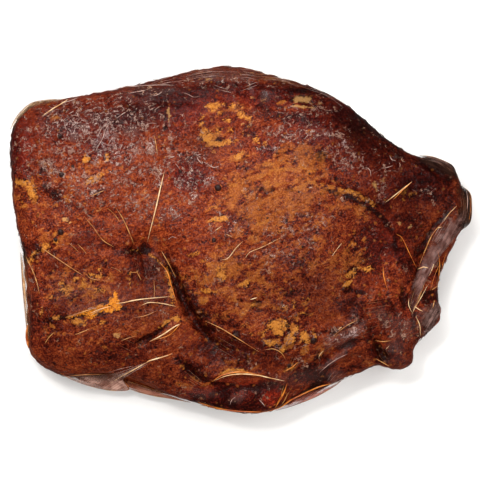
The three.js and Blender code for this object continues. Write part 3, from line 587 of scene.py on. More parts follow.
def folded(thing):
    """The height of the folds at each of the object's points, in metres."""
    points, up = read(thing, "co"), facing_up(thing)
    height = np.zeros(len(points))
    for line, half, rise in FOLDS:
        height += rise * MM * np.exp(-((line_distance(points, line) / (half * PIXEL)) ** 2))
    crumple = creases(points, *CRUMPLE) * (CRUMPLE_EVERYWHERE + ellipse_paint(points, CRUMPLED))
    walls = WALL_SHARE * (1 - up) * creases(points, *WALL_FOLDS)
    return (height + CRUMPLE_RISE * crumple) * up + CRUMPLE_RISE * walls


def lift(thing, height):
    """Moves the points along their normals, never through the floor, and less towards the resting face."""
    points, normals = read(thing, "co"), read(thing, "normal")
    fade = np.clip(points[:, 2] / RESTING_FADE, 0, 1)
    points += normals * (height * fade)[:, None]
    points[:, 2] = np.maximum(points[:, 2], 0)
    thing.data.vertices.foreach_set("co", points.astype(np.float32).ravel())
    thing.data.update()


print("fibres run at", round(math.degrees(FIBRE_TURN)), "degrees in plan")

# %% Relief of the meat
LUMPS, LUMP_RISE = (16 * MM, 11.0), 0.6 * MM
CRAGS, CRAG_RISE = (6 * MM, 3.0), 0.45 * MM
FIBRES, FIBRE_RISE = ((12 * MM, 2.8 * MM, 5 * MM), 23.0), 0.3 * MM
MEAT_SETTLES = 0.4 * MM
UNDERCUT = 0.3
flat_points = read(brisket, "co")
upper = np.clip((read(brisket, "normal")[:, 2] + UNDERCUT) / UNDERCUT, 0, 1)
lumps, crags = bumps(flat_points, *LUMPS), bumps(flat_points, *CRAGS)
fibres = bumps(flat_points @ FIBRE_TO_GRID, *FIBRES, octaves=2)
lift(brisket, folded(brisket) + LUMP_RISE * lumps + CRAG_RISE * crags + FIBRE_RISE * fibres - MEAT_SETTLES)
print("crags from", round(crags.min(), 2), "to", round(crags.max(), 2), "of their height")

# %% Paint on the meat: how far an edge wanders, over what size, and the seed
RAGGED_EDGE = (1.1 * MM, 5 * MM, 61.0)
WALL_EDGE = (7 * MM, 12 * MM, 83.0)
TORN_EDGE = (0.9 * MM, 3.2 * MM, 67.0)
UNSEEN_FAT, UNSEEN_SHARE, UNSEEN_LEVEL, UNSEEN_MOST = (17 * MM, 71.0), 0.5, 0.25, 0.6
ragged = wander(flat_points, *RAGGED_EDGE)
ragged += (1 - facing_up(brisket))[:, None] * (wander(flat_points, *WALL_EDGE) - flat_points)
torn = wander(flat_points, *TORN_EDGE)
unseen = np.clip(bumps(flat_points, *UNSEEN_FAT) * UNSEEN_SHARE + UNSEEN_LEVEL, 0, UNSEEN_MOST)
PAINT = {  # points, patches, lines, and how much of it lies beneath, where the photograph shows nothing
    "fat": (ragged, FAT, [], unseen),
    "island": (flat_points, ISLANDS, ISLAND_LINES, 0),
    "clear_fat": (torn, CLEAR_FAT, CLEAR_LINES, 0),
    "smooth": (ragged, SMOOTH, [], 0.3),
    # dark: dark bark, and painted shade in hollows, creases and at the edges
    "dark": (ragged, DARK_BARK_AND_SHADE, DARK_BARK_AND_SHADE_LINES, 0.25),
    "maroon": (ragged, MAROON, [], 0.3),
    "gold": (flat_points, GOLD, [], 0),
    "raw": (ragged, RAW, [], 0),
}
for name, (points, patches, lines, beneath) in PAINT.items():
    seen = np.maximum(ellipse_paint(points, patches), line_paint(points, lines))
    write_attribute(brisket, name, seen * upper + beneath * (1 - upper))
    print(name, "on", int((seen > 0.5).sum()), "of", len(seen), "points")

# %% Smoke with painted shade, and tan
# faces that turn downward are made this much darker
SMOKE_AND_SHADE_BENEATH = -0.14
TAN_SLOPE = (2.5, -0.5)
write_attribute(brisket, "smoke_and_shade", soft_paint(ragged, SMOKE_AND_SHADE) * upper + SMOKE_AND_SHADE_BENEATH * (1 - upper))
level_bark = np.clip(read(brisket, "normal")[:, 2] * TAN_SLOPE[0] + TAN_SLOPE[1], 0, 1)
write_attribute(brisket, "tan", ellipse_paint(ragged, TAN) * level_bark)
print("painted:", [layer.name for layer in brisket.data.attributes if layer.data_type == "FLOAT"])

# %% [markdown]
# ## Materials: the helpers
#
# Colours are written as the sRGB values that the eye reads and turned to linear for the shaders. One
# function adds any node with its settings and links, and hands on one of its outputs. The patterns of
# the meat and the film are read at places in millimetres that noise has shifted about, so that no edge
# is smooth. A Mapping node of the texture type turns places back and divides them by its scale, which
# draws a pattern out along a direction.

# %% Colour and node helpers
def linear(code):
    """A linear colour from an sRGB hex value."""
    channels = [int(code[i:i + 2], 16) / 255 for i in (1, 3, 5)]
    return (*[c / 12.92 if c <= 0.04045 else ((c + 0.055) / 1.055) ** 2.4 for c in channels], 1)


def add(tree, kind, inputs=(), out=0, **settings):
    """Adds a node, sets it, links or fills its inputs, named or in order, and gives one of its outputs."""
    node = tree.nodes.new("ShaderNode" + kind)
    for key, value in settings.items():
        setattr(node, key, value)
    for key, value in inputs.items() if isinstance(inputs, dict) else enumerate(inputs):
        if isinstance(value, bpy.types.NodeSocket):
            tree.links.new(value, node.inputs[key])
        else:
            node.inputs[key].default_value = value
    return node.outputs[out]


def coat(thing, name, finish, *values):
    """Gives the object a new material, whose surface a finish makes from some values."""
    material = bpy.data.materials.new(name)
    material.use_nodes = True
    tree = material.node_tree
    tree.nodes.clear()
    output = tree.nodes.new("ShaderNodeOutputMaterial")
    tree.links.new(finish(tree, *values), output.inputs["Surface"])
    thing.data.materials.append(material)
    print(name, "on", thing.name, "has", len(tree.nodes), "nodes")


def in_millimetres(tree, size, detail, reach):
    """Places in mm, as they are, and shifted about by noise of a size and reach in mm."""
    metres = add(tree, "TexCoord", out="Object")
    plain = add(tree, "VectorMath", (metres, (1 / MM,) * 3), operation="MULTIPLY")
    shift = add(tree, "TexNoise", {"Vector": plain, "Scale": 1 / size, "Detail": detail}, "Color")
    return plain, add(tree, "VectorMath", (shift, (reach,) * 3, plain), operation="MULTIPLY_ADD")


def crossing(tree, field, outer, inner, strength):
    """Thin lines where a noise crosses its middle: nought away from them, and the strength on them."""
    away = add(tree, "Math", (field, 0.5), operation="SUBTRACT")
    away = add(tree, "Math", (away,), operation="ABSOLUTE")
    return add(tree, "MapRange", {"Value": away, "From Min": outer, "From Max": inner, "To Max": strength})


print("middle grey in linear light:", round(linear("#808080")[0], 2))

# %% [markdown]
# ## Smoked beef bark
#
# What it is: beef dried and browned by smoke, with fat that shows orange where it has soaked up the
# spice. The eye reads a mahogany ground, darker and lighter at every scale, fat in ragged islands that
# follow the fibres, and near-black where spice is thick. Its colour also has painted shade in hollows,
# creases and at the edges, from the dark and smoke paint. It is moist, so it has a soft gloss.

# %% Noise of the bark: which places, the size in mm, the detail and the roughness
BARK_NOISE = {
    "fine": ("ragged", 1.1, 1.5, 0.6), "middle": ("along", 3.0, 2.0, 0.6), "large": ("ragged", 9, 2.0, 0.5),
    "broad": ("plain", 32, 1.0, 0.5), "crust": ("ragged", 4.5, 3.0, 0.7), "skin": ("ragged", 1.6, 1.0, 0.5),
}
BARK_SHIFT = (3.5, 2.0, 2.6)
ALONG_FIBRES = (1.8, 1, 1.2)
VEIN_SIZE, VEIN_SEED, VEIN_LINE = 2.4, 3.0, (0.05, 0.0, 0.2)
SPOT_SIZE, SPOT_EDGE = 3.4, (0.36, 0.2)
CHOSEN, SPOT_STRENGTHS = (0.8, 0.9), {"Red": 0.55, "Green": 0.3}


def bark_fields(tree):
    """The bark's noise by name, its veins among it, its paint by name, and the spots of fat and dark ones."""
    plain, ragged = in_millimetres(tree, *BARK_SHIFT)
    along = add(tree, "Mapping", {"Vector": ragged, "Rotation": (0, 0, FIBRE_TURN), "Scale": ALONG_FIBRES},
                vector_type="TEXTURE")
    places = {"plain": plain, "ragged": ragged, "along": along}
    fields = {name: add(tree, "TexNoise", {"Vector": places[which], "Scale": 1 / size, "Detail": detail,
                                           "Roughness": roughness})
              for name, (which, size, detail, roughness) in BARK_NOISE.items()}
    contour = add(tree, "TexNoise", {"Vector": along, "W": VEIN_SEED, "Scale": 1 / VEIN_SIZE, "Detail": 1.0},
                  noise_dimensions="4D")
    fields["veins"] = crossing(tree, contour, *VEIN_LINE)
    paint = {name: add(tree, "Attribute", attribute_name=name, out="Fac") for name in (*PAINT, "smoke_and_shade", "tan")}
    distance = add(tree, "TexVoronoi", {"Vector": ragged, "Scale": 1 / SPOT_SIZE}, "Distance")
    lots = add(tree, "SeparateColor", {"Color": distance.node.outputs["Color"]}).node.outputs
    round_spots = add(tree, "MapRange", {"Value": distance, "From Min": SPOT_EDGE[0], "From Max": SPOT_EDGE[1]})
    spots = []
    for lot, strength in SPOT_STRENGTHS.items():
        chosen = add(tree, "MapRange", {"Value": lots[lot], "From Min": CHOSEN[0], "From Max": CHOSEN[1],
                                        "To Max": strength})
        spots.append(add(tree, "Math", (round_spots, chosen), operation="MULTIPLY"))
    return fields, paint, spots


print("noise of the bark in mm:", {name: size for name, (_, size, _, _) in BARK_NOISE.items()})

# %% Mottling and tone of the bark
MOTTLE_BY_MIDDLE, MOTTLE_SPAN = 1.3, (1.55, 1.85)
GRAIN, GRAIN_IN_FAT, GRAIN_IF_SMOOTH = 0.95, 0.5, -0.7
TONE_LEVEL = -0.28
TONE_SHARES = {"middle": 0.56, "large": 0.3, "broad": 0.4, "mottle": 0.1}
CRUST_SPAN, CRUST_DEPTH = (0.58, 1.45), 0.44
RIM_SPAN, RIM_DEPTH = (0.02, 0.3), 0.1


def bark_tone(tree, fields, paint, dark_spots):
    """How light the bark is, from nought to one, and the mottling, which joins the fields."""
    mottle = add(tree, "Math", (fields["large"], paint["fat"]), operation="ADD")
    mottle = add(tree, "Math", (fields["middle"], MOTTLE_BY_MIDDLE, mottle), operation="MULTIPLY_ADD")
    fields["mottle"] = add(tree, "MapRange", {"Value": mottle, "From Min": MOTTLE_SPAN[0],
                                              "From Max": MOTTLE_SPAN[1]})
    grain = add(tree, "Math", (paint["fat"], GRAIN_IN_FAT, GRAIN), operation="MULTIPLY_ADD")
    grain = add(tree, "Math", (paint["smooth"], GRAIN_IF_SMOOTH, grain), operation="MULTIPLY_ADD")
    tone = add(tree, "Math", (fields["fine"], 0.5), operation="SUBTRACT")
    tone = add(tree, "Math", (tone, grain, TONE_LEVEL), operation="MULTIPLY_ADD")
    tone = add(tree, "Math", (tone, fields["veins"]), operation="ADD")
    for name, share in TONE_SHARES.items():
        tone = add(tree, "Math", (fields[name], share, tone), operation="MULTIPLY_ADD")
    # the dark paint, dark bark and painted shade in hollows, creases and at the edges, deepens the crust
    crust = add(tree, "Math", (fields["crust"], paint["dark"]), operation="ADD")
    crust = add(tree, "MapRange", {"Value": crust, "From Min": CRUST_SPAN[0], "From Max": CRUST_SPAN[1],
                                   "To Max": CRUST_DEPTH})
    rim = add(tree, "MapRange", {"Value": paint["clear_fat"], "From Min": RIM_SPAN[0], "From Max": RIM_SPAN[1],
                                 "To Max": RIM_DEPTH})
    for shade in (crust, dark_spots, rim):
        tone = add(tree, "Math", (tone, shade), operation="SUBTRACT")
    return tone


print("shares of the tone:", TONE_SHARES)

# %% Colours of the bark and of its fat
BARK_TONES = [(0.0, "#1f0603"), (0.2, "#451109"), (0.4, "#6d2711"), (0.56, "#873a1b"), (0.72, "#9a4d25"),
              (0.86, "#ad632f"), (1.0, "#c28548")]
MAROON_TONES = [(0.0, "#260504"), (0.2, "#430b08"), (0.4, "#5e140c"), (0.56, "#752415"), (0.72, "#883824"),
                (0.86, "#99503d"), (1.0, "#ae7565")]
RAW_RED, RAW_STRENGTH = "#9a2a12", 0.6
FAT_SHADE, FAT_BRIGHT, FAT_GOLD, FAT_TAN = "#86461a", "#aa6527", "#e58c26", "#c08d54"
FAT_CLEAN, FAT_AMBER = "#c67f33", "#bd681c"
FAT_GRAIN = (0.36, 0.64)
MOTTLE_COVER = 0.5
SOAKED_TEAR, SOAKED_SPAN, SOAKED_COVER = (0.5, 1.8, -1.1), (0.58, 0.86), 0.75
CLEAR_TEAR, CLEAR_FROM, CLEAR_NEAR = (1.3, 2.5, -0.75), 1.5, 6.0
CLEAR_COVERS = {"clear_fat": (2.0, 0.85), "gold": (1.95, 1.0)}  # where a cover is full, and its alpha there
SMOKE_AND_SHADE_GAIN, PLAIN_GAIN = 1.9, 0.91


def barks(tree, tone):
    """Brown and maroon bark: for each the colour at a tone, between the listed ones."""
    colours = []
    for tones in (BARK_TONES, MAROON_TONES):
        colours.append(add(tree, "ValToRGB", {"Fac": tone}, "Color"))
        stops = colours[-1].node.color_ramp.elements
        for place, _ in tones[1:-1]:
            stops.new(place)
        for stop, (place, code) in zip(stops, tones):
            stop.position, stop.color = place, linear(code)
    return colours


def tear(tree, fields, fine, middle, level):
    """What is added to paint, so that its threshold tears its edge at two sizes."""
    torn = add(tree, "Math", (fields["fine"], fine, level), operation="MULTIPLY_ADD")
    return add(tree, "Math", (fields["middle"], middle, torn), operation="MULTIPLY_ADD")


def bark_colour(tree, fields, paint, fat_spots, tone):
    """The bark's own colour, then each kind of fat over it, then raw red, and last the smoke paint with its painted
    shade.
    """
    colour, maroon = barks(tree, tone)
    grain = add(tree, "MapRange", {"Value": fields["fine"], "From Min": FAT_GRAIN[0], "From Max": FAT_GRAIN[1]})
    soaked, clean, gold = [
        add(tree, "Mix", {"Factor": grain, "A": linear(shade), "B": linear(bright)}, "Result", data_type="RGBA")
        for shade, bright in ((FAT_SHADE, FAT_BRIGHT), (FAT_BRIGHT, FAT_CLEAN), (FAT_AMBER, FAT_GOLD))
    ]
    mottling = add(tree, "Math", (fields["mottle"], MOTTLE_COVER), operation="MULTIPLY")
    layers = [(paint["maroon"], maroon), (mottling, soaked), (fat_spots, soaked)]
    torn = tear(tree, fields, *SOAKED_TEAR)
    for name, fat in (("island", soaked), ("tan", linear(FAT_TAN))):
        cover = add(tree, "Math", (paint[name], torn), operation="ADD")
        cover = add(tree, "MapRange", {"Value": cover, "From Min": SOAKED_SPAN[0], "From Max": SOAKED_SPAN[1],
                                       "To Max": SOAKED_COVER})
        layers.append((cover, fat))
    torn = tear(tree, fields, *CLEAR_TEAR)
    for (name, (full, most)), fat in zip(CLEAR_COVERS.items(), (clean, gold)):
        cover = add(tree, "Math", (torn, paint[name]), operation="ADD")
        cover = add(tree, "MapRange", {"Value": cover, "From Min": CLEAR_FROM, "From Max": full, "To Max": most})
        near = add(tree, "Math", (paint[name], CLEAR_NEAR), operation="MULTIPLY", use_clamp=True)
        layers.append((add(tree, "Math", (cover, near), operation="MULTIPLY"), fat))
    for cover, over in layers:
        colour = add(tree, "Mix", {"Factor": cover, "A": colour, "B": over}, "Result", data_type="RGBA")
    rawness = add(tree, "Math", (paint["raw"], RAW_STRENGTH), operation="MULTIPLY")
    colour = add(tree, "Mix", {"Factor": rawness, "A": colour, "B": linear(RAW_RED)}, "Result",
                 data_type="RGBA", blend_type="COLOR")
    # the smoke paint, partly painted shade, scales the colour
    gain = add(tree, "Math", (paint["smoke_and_shade"], SMOKE_AND_SHADE_GAIN, PLAIN_GAIN), operation="MULTIPLY_ADD")
    return add(tree, "VectorMath", {0: colour, "Scale": gain}, operation="SCALE")


print("bark from", BARK_TONES[0][1], "to", BARK_TONES[-1][1])

# %% Material: smoked beef bark
BARK_GLOSS = {"Roughness": 0.3, "Specular IOR Level": 0.03}
JUICE_GLOSS = {"Coat Weight": 0.12, "Coat Roughness": 0.12, "Coat IOR": 1.5}
SKIN_RELIEF, BARK_RELIEF = {"Distance": 1.0 * MM, "Strength": 1.0}, {"Distance": 0.7 * MM, "Strength": 0.7}
RELIEF_BY_MIDDLE = 1.5


def smoked_beef_bark(tree):
    """Bark from near-black over mahogany to fat, by noise at sizes in mm and by the painted patches, among them
    painted shade.
    """
    fields, paint, (fat_spots, dark_spots) = bark_fields(tree)
    tone = bark_tone(tree, fields, paint, dark_spots)
    colour = bark_colour(tree, fields, paint, fat_spots, tone)
    height = add(tree, "Math", (fields["middle"], RELIEF_BY_MIDDLE, fields["fine"]),
                 operation="MULTIPLY_ADD")
    bump = add(tree, "Bump", {"Height": height, **BARK_RELIEF})
    skin = add(tree, "Bump", {"Height": fields["skin"], **SKIN_RELIEF})
    return add(tree, "BsdfPrincipled", {"Base Color": colour, "Normal": bump, "Coat Normal": skin,
                                        **BARK_GLOSS, **JUICE_GLOSS})


coat(brisket, "smoked_beef_bark", smoked_beef_bark)

# %% [markdown]
# ## The film
#
# Vacuum film is a clear laminate about a tenth of a millimetre thick. It bridges the finest relief, and
# it is crinkled where it had to shrink: at the back left and along the back shoulder. Its pleats lift it
# into little tents. So the film is the pack's own surface, smoothed, with crinkles and tents added.

# %% Pleats in the photograph: lines of the film drawn tight, with their half thickness in mm
# cream and pale pleats are painted highlights of lit ridges, brown ones painted shade, gold and amber ones juice in
# the fold, the amber ones with a painted glow
PLEATS = {"cream": [
    ([(92, 312.5), (100, 309), (112, 305.5)], 0.35), ([(22, 254), (23, 275), (24.6, 292), (26.6, 310)], 0.5),
    ([(24.3, 278), (25, 290), (26, 303)], 0.6), ([(165, 172), (161, 189), (156, 211), (148, 242)], 0.6),
    ([(43, 117), (52, 111), (62, 104.5), (69, 100)], 0.5), ([(117, 303), (125, 302), (140, 299), (171, 296)], 0.55),
    ([(142, 305), (150, 302), (163, 303), (177, 306)], 0.4),
    ([(150, 341), (163, 334), (175, 326), (181, 323)], 0.6),
    ([(147, 362), (150, 360), (162, 356.5), (173, 353)], 0.6), ([(108, 385), (125, 374), (150, 360)], 0.3),
    ([(118, 378), (133, 370), (148, 361)], 0.3),
    ([(214, 380), (226, 375), (240, 373), (256, 374), (270, 377), (284, 380)], 0.55),
    ([(417, 269), (423, 267), (428, 268)], 0.5), ([(414, 306), (418, 309), (422, 311)], 0.4),
    ([(318, 357), (320, 353), (323, 350)], 0.2), ([(434, 262), (431, 270), (428, 276)], 0.35),
    ([(427, 285), (421, 296), (415, 306), (411, 314)], 0.35),
    ([(220, 260), (228, 258), (236, 248), (243, 241)], 0.35), ([(331, 256), (336, 249), (341, 243)], 0.25),
    ([(384, 203), (393, 196), (402, 189), (411, 182)], 0.4), ([(250, 299), (257, 297)], 0.4),
    ([(415, 316), (419, 325), (420, 336)], 0.4), ([(408, 298), (408, 305), (411, 312)], 0.35),
    ([(245, 258), (250, 252), (262, 247), (280, 238)], 0.25), ([(215, 231), (222, 226)], 0.35),
    ([(226, 234), (232, 237)], 0.3), ([(456, 206), (448, 214), (443, 221)], 0.35), ([(437, 228), (441, 227)], 0.4),
    ([(337, 329), (341, 326)], 0.4), ([(385, 349), (389, 345)], 0.2),
], "gold": [
    ([(66, 376.5), (80, 374.5), (95, 374), (105, 374.5)], 0.3), ([(124, 380.5), (150, 388.5), (180, 399.5)], 0.25),
    ([(117, 208), (124, 219), (130, 232), (135, 245)], 0.4), ([(108, 208), (115, 214), (121, 222)], 0.3),
    ([(86, 217), (95, 228), (104, 240), (115, 247)], 0.4), ([(43, 248), (55, 256), (70, 266), (84, 275)], 0.45),
    ([(26, 255), (34, 271), (38, 282), (41, 294)], 0.5), ([(162, 251), (169, 263), (176, 277)], 0.4),
    ([(205, 320), (222, 328), (240, 339), (259, 351)], 0.4),
    ([(443, 221), (432, 234), (425, 249), (418, 267)], 0.4),
    ([(333, 335), (340, 329), (347, 324), (357, 319)], 0.35), ([(46, 343), (50, 337), (55, 332)], 0.35),
    ([(76, 334), (84, 331), (91, 328)], 0.35), ([(122, 340), (130, 337), (137, 335)], 0.35),
    ([(134, 317), (146, 315), (158, 310)], 0.35), ([(155, 136), (157, 147), (158, 155)], 0.35),
    ([(92, 197), (98, 194), (105, 191)], 0.4), ([(374, 340), (382, 341), (391, 340)], 0.35),
    ([(112, 267), (118, 269), (122, 272)], 0.3), ([(130, 272), (137, 272), (139, 270)], 0.3),
    ([(137, 270), (140, 276), (142, 280)], 0.25), ([(154.5, 279), (155, 288), (155, 298)], 0.22),
    ([(92, 315), (98, 311), (106, 307)], 0.5), ([(67, 317), (85, 311), (104, 305)], 0.45),
    ([(375, 358), (382, 362), (389, 366)], 0.4), ([(100, 280), (92, 278), (88, 275)], 0.3),
    ([(425, 280), (419, 296), (412, 310)], 0.35), ([(434, 300), (432, 308)], 0.4),
    ([(431, 290), (437, 286), (440, 283)], 0.35), ([(70, 243), (75, 247), (80, 252)], 0.3),
    ([(79, 244), (84, 249), (88, 254)], 0.25), ([(264, 349), (273, 348), (281, 352), (285, 358)], 0.3),
], "amber": [
    ([(200, 404.5), (215, 408), (232, 410.5), (250, 411.5), (268, 411.5)], 0.6),
    ([(266, 411.5), (280, 407), (290, 400), (305, 392.5), (320, 386), (331, 383.5)], 0.75),
    ([(275, 408), (279, 400), (284, 391), (287, 382)], 0.75),
    ([(198, 402), (215, 407), (235, 410.5), (262, 411.5)], 0.7),
    ([(28.5, 324), (27.2, 333), (27.6, 341), (28.8, 348)], 1.5), ([(382, 265), (383, 277), (387, 291)], 0.45),
    ([(395, 234), (401, 238), (408, 252), (416, 268)], 0.36), ([(437, 250), (439, 264), (437, 288)], 0.26),
    ([(470, 196), (470, 210), (468, 226)], 0.3), ([(446, 252), (442, 266), (440, 290)], 0.22),
    ([(392, 200), (402, 190), (410, 183)], 0.5), ([(212, 381), (222, 374.5), (240, 371), (262, 374)], 0.6),
    ([(160, 262), (168, 272), (172, 286), (177, 302)], 0.5), ([(156, 339), (170, 334), (182, 322)], 0.45),
    ([(298, 361), (292, 366), (285, 370)], 0.34), ([(168, 355), (173, 352)], 0.5), ([(124, 381), (129, 388)], 0.4),
    ([(440, 262), (434, 276), (430, 290)], 0.2), ([(60, 372), (66, 376), (76, 381)], 0.3),
], "brown": [], "pale": [
    ([(319, 372), (328, 364), (337, 358), (347, 353)], 0.36), ([(466, 190), (467, 200), (466.5, 211)], 0.35),
    ([(110, 90), (130, 87), (160, 85.5), (175, 86)], 0.35), ([(129, 94), (140, 92), (146, 91)], 0.35),
    ([(153, 97), (159, 95), (163, 92)], 0.25), ([(182, 93), (188, 95), (194, 98), (200, 97)], 0.25),
    ([(146, 130), (147, 126), (152, 124), (158, 125)], 0.3), ([(118, 119), (122, 116), (126, 113)], 0.4),
    ([(96, 153), (100, 146), (104, 139), (106, 132), (111, 122)], 0.35),
    ([(99, 138), (101, 133), (103, 128)], 0.35), ([(82, 127), (84, 131), (85, 135)], 0.35),
    ([(66, 126), (68, 131)], 0.3), ([(70, 115), (73, 113), (75, 112)], 0.3),
    ([(77, 112), (79, 116), (80, 119)], 0.3), ([(109, 146), (112, 141), (115, 137)], 0.3),
    ([(168.5, 239.5), (173, 236.8), (178, 238.5)], 0.3), ([(197, 157), (199, 161), (203, 165)], 0.4),
    ([(209, 166), (214, 168), (219, 167)], 0.35), ([(171, 158), (175, 157)], 0.35),
    ([(176, 164), (179, 168), (181, 171)], 0.3), ([(62, 104), (72, 101), (80, 98)], 0.3),
    ([(89, 308), (93, 307.4), (98, 308.6)], 0.35), ([(366, 168), (369, 171), (370, 177)], 0.25),
    ([(381, 169), (386, 168), (392, 166)], 0.25), ([(389, 156), (391, 160), (395, 161)], 0.25),
    ([(259, 399), (262, 402), (265, 406)], 0.35), ([(230, 404), (232, 399), (236, 396)], 0.3),
]}
print({tint: len(lines) for tint, lines in PLEATS.items()}, "single pleats")

# %% Bundles of fine pleats: start, end, number, spreads in pixels, bend and half thickness in mm
BUNDLES = {"pale": [
    ((150, 87), (188, 80), 4, 4, 7, 2, 0.12), ((182, 80), (236, 74), 5, 7, 8, 3, 0.11),
    ((228, 74), (268, 79), 5, 8, 9, 2, 0.12), ((262, 77), (304, 86), 5, 9, 8, 3, 0.11),
    ((298, 84), (350, 108), 5, 6, 9, 4, 0.11), ((212, 86), (236, 92), 3, 3, 5, -1, 0.12),
    ((240, 92), (262, 84), 3, 3, 4, 1, 0.11), ((152, 360), (104, 382), 6, 1, 16, 0, 0.13),
    ((344, 374), (331, 387), 6, 20, 14, 0, 0.12), ((60, 106), (40, 118), 3, 6, 8, 2, 0.14),
    ((24, 262), (27, 325), 2, 2, 3, -1, 0.22), ((421, 157), (455, 171), 6, 5, 9, 4, 0.17),
    ((450, 215), (432, 245), 3, 8, 6, 0, 0.16),
], "gold": [
    ((289, 384), (280, 407), 4, 9, 3, 0, 0.25), ((445, 250), (440, 292), 3, 6, 4, 0, 0.2),
    ((420, 285), (411, 309), 2, 8, 3, 0, 0.16),
], "brown": [
    ((420, 157), (457, 172), 8, 3, 10, 4, 0.18), ((462, 188), (463, 224), 6, 7, 9, 3, 0.18),
    ((381, 346), (391, 363), 3, 8, 6, -2, 0.12), ((140, 253), (147, 288), 5, 14, 20, 1, 0.1),
    ((212, 336), (245, 354), 4, 16, 18, 0, 0.09), ((232, 76), (318, 90), 7, 8, 7, 5, 0.18),
    ((176, 80), (232, 72), 5, 8, 6, 2, 0.18), ((186, 372), (208, 386), 4, 8, 5, -2, 0.2),
    ((298, 352), (286, 372), 4, 10, 6, 2, 0.18), ((360, 305), (392, 300), 5, 16, 14, 0, 0.13),
    ((195, 260), (205, 300), 4, 10, 16, 2, 0.13), ((438, 232), (424, 262), 4, 12, 9, 1, 0.16),
    ((365, 320), (395, 318), 5, 14, 12, 2, 0.13), ((110, 330), (150, 350), 4, 16, 18, 2, 0.13),
    ((352, 333), (368, 326), 4, 10, 9, 1, 0.12), ((318, 345), (340, 335), 4, 12, 9, 1, 0.13),
    ((408, 327), (399, 337), 4, 9, 7, 0, 0.12),
]}
BUNDLE_SEED = 5
UNEVEN, FROM, UP_TO = (-0.3, 0.3), (0, 0.35), (0.6, 1)
BOW, JITTER, THINNER_OR_THICKER = (-1, 1), (-0.6, 0.6), (0.6, 1.3)


def bundle(draw, start, end, count, spread_start, spread_end, bend, half):
    """Nearly parallel fine lines between two places, each a little longer or shorter than the next."""
    start, end = np.array(start, float), np.array(end, float)
    along = end - start
    side = np.array([along[1], -along[0]]) / np.hypot(*along)
    lines = []
    for i in range(count):
        place = i / (count - 1) - 0.5 + draw.uniform(*UNEVEN) / count
        first, last = draw.uniform(*FROM), draw.uniform(*UP_TO)
        bow = bend + draw.uniform(*BOW)
        corners = []
        for share in (first, (first + last) / 2, last):
            offset = place * (spread_start + (spread_end - spread_start) * share)
            offset += bow * 4 * share * (1 - share) + draw.uniform(*JITTER)
            corners.append(tuple(start + along * share + side * offset))
        lines.append((corners, half * draw.uniform(*THINNER_OR_THICKER)))
    return lines


bundle_draw = random.Random(BUNDLE_SEED)
for tint, bundles in BUNDLES.items():
    for row in bundles:
        PLEATS[tint] += bundle(bundle_draw, *row)
print({tint: len(lines) for tint, lines in PLEATS.items()}, "pleats read from the photograph")

# %% Crinkles and tents of the film
TENT_RISE, TENT_REACH, STOUT = 0.45 * MM, 1.6 * MM, 0.3
CRINKLES, CRINKLE_DEPTH = (7 * MM, 31.0), 0.5 * MM
CRINKLED_EVERYWHERE, CRINKLED_BY_HAZE_AND_GLINTS = 0.25, 0.5
GATHERS, GATHER_DEPTH = ((4 * MM, 4 * MM, 24 * MM), 47.0), 0.9 * MM
FILM_CRAG_RISE = FILM_SETTLES = 0.3 * MM
HAZE_AND_GLINT_EDGE, VEIL_AND_SHEEN_EDGE = (2 * MM, 9 * MM, 5.0), (1.5 * MM, 8 * MM, 15.0)
modify(film, "SMOOTH", factor=0.6, iterations=4)
skin = read(film, "co")
tents = np.full(len(skin), FAR)
for line, half in PLEATS["cream"] + PLEATS["gold"]:
    if half > STOUT:
        tents = np.minimum(tents, line_distance(skin, line))
haze_and_glints = ellipse_paint(wander(skin, *HAZE_AND_GLINT_EDGE), HAZE_AND_GLINTS)
crinkles = -np.abs(bumps(skin, *CRINKLES)) * (CRINKLED_EVERYWHERE + CRINKLED_BY_HAZE_AND_GLINTS * np.clip(haze_and_glints, 0, 1))
gathers = -np.abs(bumps(skin, *GATHERS, octaves=2)) * (1 - facing_up(film))
level_film = np.clip(read(film, "normal")[:, 2], 0, 1)
shape = LUMP_RISE * bumps(skin, *LUMPS) + FILM_CRAG_RISE * bumps(skin, *CRAGS) - FILM_SETTLES
tent_height = TENT_RISE * np.exp(-((tents / TENT_REACH) ** 2)) * level_film
lift(film, folded(film) + shape + tent_height + CRINKLE_DEPTH * crinkles + GATHER_DEPTH * gathers)
print("film lifted at", int((tents < TENT_REACH).sum()), "points near pleats")

# %% Paint on the film: painted glints where it is crinkled, and the veil, partly painted sheen
MOST_HAZE_AND_GLINTS, WALL_HAZE_AND_GLINTS = 1.2, 0.12
walls = 1 - facing_up(film)
write_attribute(film, "haze_and_glints", np.maximum(np.clip(haze_and_glints, 0, MOST_HAZE_AND_GLINTS) * (1 - walls), WALL_HAZE_AND_GLINTS * walls))
write_attribute(film, "veil_and_sheen", ellipse_paint(wander(skin, *VEIL_AND_SHEEN_EDGE), VEIL_AND_SHEEN) * level_film)
print("haze on", int((haze_and_glints > 0.5).sum()), "of", len(skin), "points of the film")

# %% [markdown]
# ## Clear vacuum film
#
# What it is: a polyamide and polyethylene laminate, blown and drawn tight. Over wet meat it is almost
# invisible and shows as gloss. Where it is crinkled it breaks the light into short whitish flecks, which
# are painted into its colour and alpha as glints, partly the whitening of trapped air, with soft smears
# of painted sheen. Where it stands off the meat it is a mauve-grey veil, and on the folds the same veil
# is painted sheen. So its alpha is near zero between the flecks.

